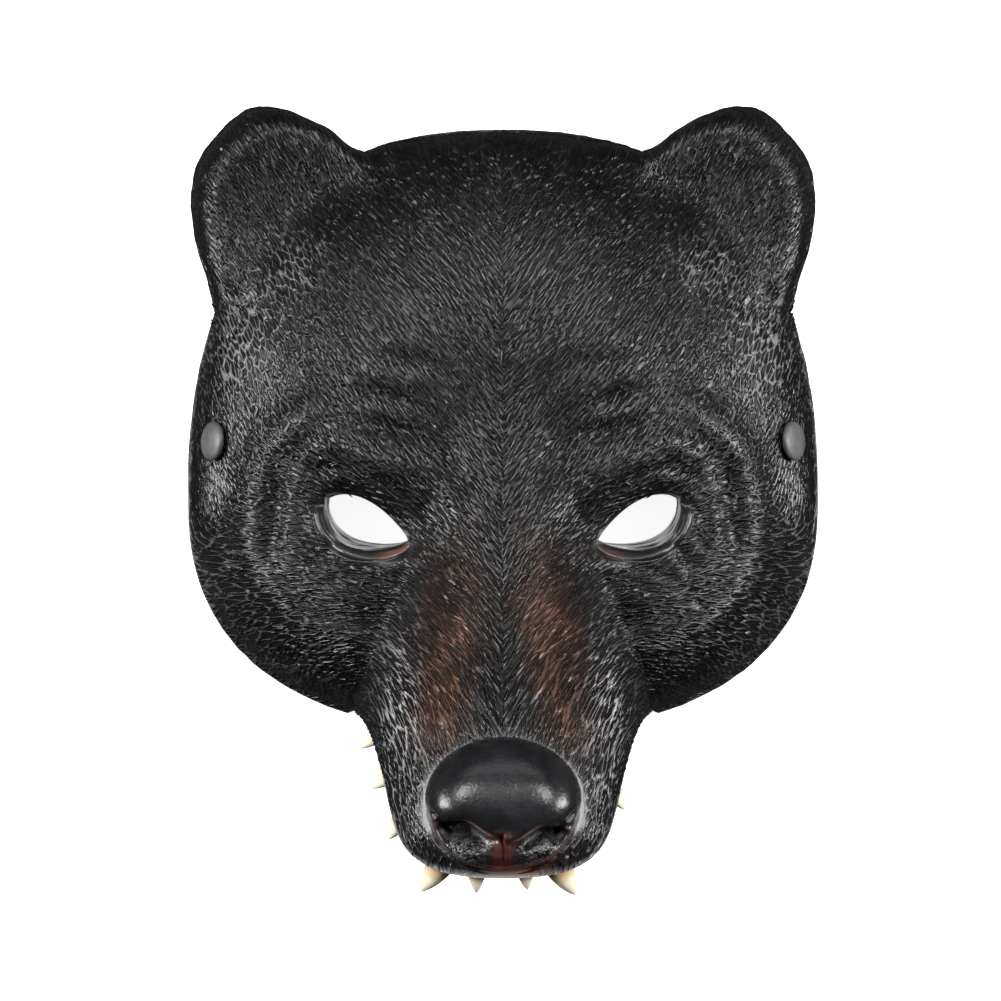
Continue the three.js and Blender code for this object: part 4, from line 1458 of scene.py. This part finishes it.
def tooth_seat(side, way, splay):
    """A tooth stands on the edge of the lip, midway through its thickness, with its root back in the lip."""
    points = even_points(mouth_line(0.0, 1.0), MOUTH_STEPS)
    index = round(way * MOUTH_STEPS)
    end = points[index]
    tangent = unit(points[min(index + 1, MOUTH_STEPS - 1)] - points[index - 1])
    ray = (end[None], np.array([EDGE_POWER]), np.array([True]), np.zeros((1, 3)))
    down = end - face_points(ray, np.array([[0.97]]), False)[0, 0]
    down = unit(down - tangent * np.dot(down, tangent))
    inward = unit(np.cross(tangent, down))
    inward = -inward if inward[2] > 0 else inward
    axis = unit(down + np.array([splay, 0.0, 0.0]))
    point = end + inward * LIP_THICKNESS / 2 - axis * TOOTH_ROOT
    mirror = np.array([side, 1.0, 1.0])
    return point * mirror, axis * mirror, inward * mirror


def turned_mesh(name, profile, radius, sides):
    """Closed turned form about Y, from a profile that starts and ends on the axis."""
    rows = [(share * radius, height) for share, height in profile]
    turns = np.arange(sides) * 2 * math.pi / sides
    points = [(0.0, rows[0][1], 0.0)]
    for out, height in rows[1:-1]:
        points += [(out * math.cos(turn), height, -out * math.sin(turn)) for turn in turns]
    points.append((0.0, rows[-1][1], 0.0))
    faces = []
    last = len(rows) - 2
    for index in range(sides):
        following = (index + 1) % sides
        faces.append((0, 1 + following, 1 + index))
        for ring in range(last - 1):
            low, high = 1 + ring * sides, 1 + (ring + 1) * sides
            faces.append((low + index, low + following, high + following, high + index))
        faces.append((1 + (last - 1) * sides + index, 1 + (last - 1) * sides + following, len(points) - 1))
    return new_mesh(name, points, faces)


def rivet_seat(side):
    step = 0.5

    def height(x, y):
        place = np.array([float(x)]), np.array([float(y)])
        return float((head_height(*place) + soft_forms(*place))[0])

    slope_x = (height(RIVET_SPREAD + step, RIVET_RISE) - height(RIVET_SPREAD - step, RIVET_RISE)) / (2 * step)
    slope_y = (height(RIVET_SPREAD, RIVET_RISE + step) - height(RIVET_SPREAD, RIVET_RISE - step)) / (2 * step)
    point = np.array([side * RIVET_SPREAD, RIVET_RISE, height(RIVET_SPREAD, RIVET_RISE)])
    return point, np.array([-side * slope_x, -slope_y, 1.0]), np.array([0.0, 1.0, 0.0])


def make_shell():
    """Raises and coats the one moulding of the mask, whose eye holes are cut before."""
    mesh = shell.data
    add_shares(mesh)
    slots = read_values(mesh.polygons, "material_index", 1, int)
    totals = read_values(mesh.polygons, "loop_total", 1, int)
    corners = read_values(mesh.loops, "vertex_index", 1, int)
    outer = np.ones(len(mesh.vertices))
    outer[corners[np.repeat(slots, totals) > 0]] = 0.0
    store(mesh, "outer", outer)
    add_wear_and_highlight(mesh, shell_outer[:, -1])
    for slot, material in enumerate((shell_material(), inside_material(), cut_material())):
        mesh.materials[slot] = material
    raised = applied(relief_tree(), mesh, "shell_raised", {})
    form = raised.data
    bpy.data.objects.remove(raised)
    add_fur_map(form)
    packed(form, EYE_LINE)
    smooth(form, SHARP_DEGREES)
    shell.data = form
    shell.name = "moulded_shell"
    return finished(shell, "shell", "mask_shell")


def make_nose():
    """Fine face of the nose, its edge sunk in the skin along the groove."""
    shares = np.sqrt(np.linspace(0.0, 1.0, NOSE_RINGS + 1)[1:]) ** 1.15
    turns = np.arange(NOSE_SIDES) * 2 * math.pi / NOSE_SIDES
    across = (shares[:, None] * np.cos(turns)).ravel() * NOSE_EDGE * NOSE_HALF_WIDTH
    along = (shares[:, None] * np.sin(turns)).ravel() * NOSE_EDGE * NOSE_HALF_HEIGHT
    x = np.concatenate([[0.0], across])
    y = np.concatenate([[0.0], along]) - NOSE_DROP
    edge = ease(0.955, 1.0, np.concatenate([[0.0], np.repeat(shares, NOSE_SIDES)]))
    z = muzzle_height(x, y) + nose_detail(x, y) * (1.0 - edge) - NOSE_EDGE_SINK * edge
    faces = fan_faces(NOSE_SIDES, NOSE_RINGS, 0, True)
    mesh = new_mesh("nose", np.stack([x, y, z], axis=1), faces)
    out = nose_out(x, y)
    lip = 0.8 * bell((x - 4.0) / 9.0) * ease(0.84, 0.97, out) * ease(-90.0, -94.0, y)
    red = bell(x / 2.5) * ease(-85.5, -89.0, y) + lip
    cave_drop = np.where(x > 0, 88.0, 86.6)
    cave = bell((np.abs(x) - NOSTRIL_SPREAD) / 6.5) * bell((y + cave_drop) / np.where(x > 0, 1.7, 2.5))
    store(mesh, "red", np.clip(red, 0.0, 1.0))
    store(mesh, "cave", np.clip(cave, 0.0, 1.0))
    side = np.abs(x)
    # Line along the nostril rims and the groove: pinkish rim paint with a painted highlight
    rim = bell((nose_brim(x) - y + 0.1) / 0.36) * ease(1.8, 3.6, side) * ease(19.0, 16.5, side)
    crease = 0.4 * bell((out - 0.955) / 0.02) * ease(-79.0, -84.0, y) * ease(-97.5, -95.0, y)
    store(mesh, "line", np.clip(rim + crease, 0.0, 1.0))
    store(mesh, "lobe", bell(np.hypot((side - 9.6) / 5.2, (y + 91.6) / 3.8)))
    packed(mesh, EYE_LINE)
    mesh.materials.append(nose_material())
    smooth(mesh)
    return finished(new_object("nose_pad", mesh), "shell")


# Lower lid across its band: distance out from the cut edge, height over the skin
LID_PROFILE = [
    (-0.5, -1.0), (0.0, -0.5), (0.35, 0.1), (0.8, 0.4), (1.3, 0.55), (1.9, 0.5), (2.3, 0.3),
    (2.6, 0.0), (2.75, -0.1), (2.9, 0.1), (3.05, 0.18), (3.2, 0.05), (3.6, -0.6),
]
LID_STEPS = 110


def make_lid(side, name, coat):
    """Smooth lower lid, a band round the lower edge of the eye hole that thins to both corners."""
    turn = np.linspace(0.02, math.pi * 0.985, LID_STEPS)
    along = np.cos(turn)
    above = -(LOWER_LID_BOW + 3.1) * np.maximum(1 - along**2, 0.0) ** 0.62 * (1 + EYE_LEAN * along)
    length = EYE_HALF_LENGTH + 0.3 + 1.5 * ease(0.0, 1.0, along)
    line = np.stack([along * length, above], axis=1)
    run = np.gradient(line, axis=0)
    out = np.stack([-run[:, 1], run[:, 0]], axis=1)
    out /= np.linalg.norm(out, axis=1, keepdims=True)
    out *= np.sign(np.sum(out * line, axis=1))[:, None]
    width = lerp(0.4, 1.0, np.sin(turn) ** 0.8)
    width = width * ease(0.0, 0.12, turn) * ease(math.pi, math.pi - 0.15, turn)
    rows = []
    for distance, height in LID_PROFILE:
        place = line + out * (distance * width)[:, None]
        x, y = from_eye_frame(place[:, 0], place[:, 1])
        z = surface_height(x, y) + fine_forms(x, y) + height * width - 0.5 * (1.0 - width)
        rows.append(np.stack([side * x, y, z], axis=1))
    count = LID_STEPS
    faces = []
    for row in range(len(rows) - 1):
        for step in range(count - 1):
            a = row * count + step
            faces.append([a, a + 1, a + 1 + count, a + count])
    if side > 0:
        faces = [face[::-1] for face in faces]
    mesh = new_mesh(name, np.vstack(rows), faces)
    tan = 0.55 if side < 0 else 0.2
    store(mesh, "tan", np.tile(ease(-0.3, -0.95, along), len(rows)) * tan)
    packed(mesh, EYE_LINE)
    mesh.materials.append(coat)
    smooth(mesh)
    return finished(new_object(name, mesh), "shell")


def make_strands():
    carrier = carrier_mesh(shell_outer)
    graph = strand_tree()
    coat = strand_material()
    halves = (
        ("fur_strands_left", 11, lambda middle: middle.x < 0),
        ("fur_strands_right", 12, lambda middle: middle.x >= 0),
    )
    for name, seed, keep in halves:
        half = part_of(carrier, name, keep)
        piece = applied(graph, half, name, {"Seed": seed, "Material": coat})
        packed(piece.data, EYE_LINE)
        print(name, len(piece.data.polygons), "faces")
        finished(piece, "shell")


def make_teeth():
    graph = tooth_tree()
    coat = tooth_material()
    for name, side, way, length, width, splay in TOOTH_ROWS:
        source = bpy.data.meshes.new(name)
        values = {"Length": length, "Width": width, "Material": coat}
        piece = applied(graph, source, name + "_enamel", values)
        piece.data.transform(basis(*tooth_seat(side, way, splay)))
        packed(piece.data, EYE_LINE)
        finished(piece, "tooth", name)


def make_rivets():
    coat = rivet_material()
    for name, side in (("rivet_left", -1), ("rivet_right", 1)):
        mesh = turned_mesh(name, CAP_PROFILE, CAP_RADIUS, TURNED_SIDES)
        mesh.transform(basis(*rivet_seat(side)))
        packed(mesh, EYE_LINE)
        mesh.materials.append(coat)
        smooth(mesh, SHARP_DEGREES)
        finished(new_object(name + "_cap", mesh), "rivet", name)


# Lights: name, place and aim in metres, width, height, watts
LIGHT_ROWS = [
    ("left_softbox", (-0.95, 0.1, 0.5), (0.0, -0.02, 0.04), 0.35, 0.8, 21.5),
    ("right_softbox", (0.95, 0.1, 0.5), (0.0, -0.02, 0.04), 0.35, 0.8, 21.5),
    ("upper_left_softbox", (-0.35, 0.55, 1.0), (0.0, 0.0, 0.05), 0.28, 0.28, 8.0),
    ("upper_right_softbox", (0.4, 0.5, 1.0), (0.0, 0.0, 0.05), 0.28, 0.28, 7.0),
    ("top_softbox", (0.0, 1.0, 0.45), (0.0, 0.1, 0.02), 0.8, 0.25, 1.5),
]
TABLE_HALF_WIDTH = 3.0
TABLE_DROP = 0.0006
WHITE = (1.0, 1.0, 1.0, 1.0)
TABLE_WHITE = (0.8, 0.8, 0.8, 1.0)


def add_light(name, place, aim, width, height, power):
    light = bpy.data.lights.new(name, "AREA")
    light.shape = "RECTANGLE"
    light.size = width
    light.size_y = height
    light.energy = power
    lamp = new_object(name, light)
    lamp.location = place
    lamp.rotation_euler = (Vector(aim) - Vector(place)).to_track_quat("-Z", "Y").to_euler()


def make_table():
    half = TABLE_HALF_WIDTH
    corners = [(-half, -half, 0.0), (half, -half, 0.0), (half, half, 0.0), (-half, half, 0.0)]
    mesh = new_mesh("table", corners, [(0, 1, 2, 3)])
    floor = new_object("table", mesh)
    floor.location = (0.0, 0.0, -TABLE_DROP)
    material, graph = new_material("white_table")
    diffuse = graph.node("ShaderNodeBsdfDiffuse", None, {"Color": TABLE_WHITE})
    glow = graph.node("ShaderNodeEmission", None, {"Color": WHITE, "Strength": 0.9})
    finish_material(graph, graph.node("ShaderNodeAddShader", None, {0: diffuse, 1: glow}))
    mesh.materials.append(material)
    floor.visible_diffuse = False
    floor.visible_glossy = False


def make_camera():
    """Camera of the photograph, straight over the mask."""
    camera = bpy.data.cameras.new("camera")
    camera.sensor_width = SENSOR_WIDTH
    camera.lens = SENSOR_WIDTH * VIEW_DISTANCE / (PICTURE_WIDTH * PIXEL_AT_RIM)
    camera.clip_start = 0.05
    camera.clip_end = 20.0
    eye = new_object("camera", camera)
    middle = PICTURE_WIDTH / 2
    aside = (middle - MIDDLE_PIXEL[0]) * PIXEL_AT_RIM
    up = (MIDDLE_PIXEL[1] - middle) * PIXEL_AT_RIM
    eye.location = (aside * MM, (EYE_LINE + up) * MM, VIEW_DISTANCE * MM)
    bpy.context.scene.camera = eye


def make_stage():
    """White table under the mask, soft lights over it and the camera."""
    make_table()
    for row in LIGHT_ROWS:
        add_light(*row)
    world = bpy.data.worlds.new("studio")
    world.use_nodes = True
    background = world.node_tree.nodes["Background"]
    background.inputs["Color"].default_value = WHITE
    background.inputs["Strength"].default_value = 0.05
    bpy.context.scene.world = world
    bpy.context.scene.view_settings.view_transform = "Standard"
    make_camera()


make_shell()
make_nose()
lid_coat = lid_material()
for lid_side, lid_name in ((-1, "lower_lid_left"), (1, "lower_lid_right")):
    make_lid(lid_side, lid_name, lid_coat)
make_strands()
make_teeth()
make_rivets()
make_stage()
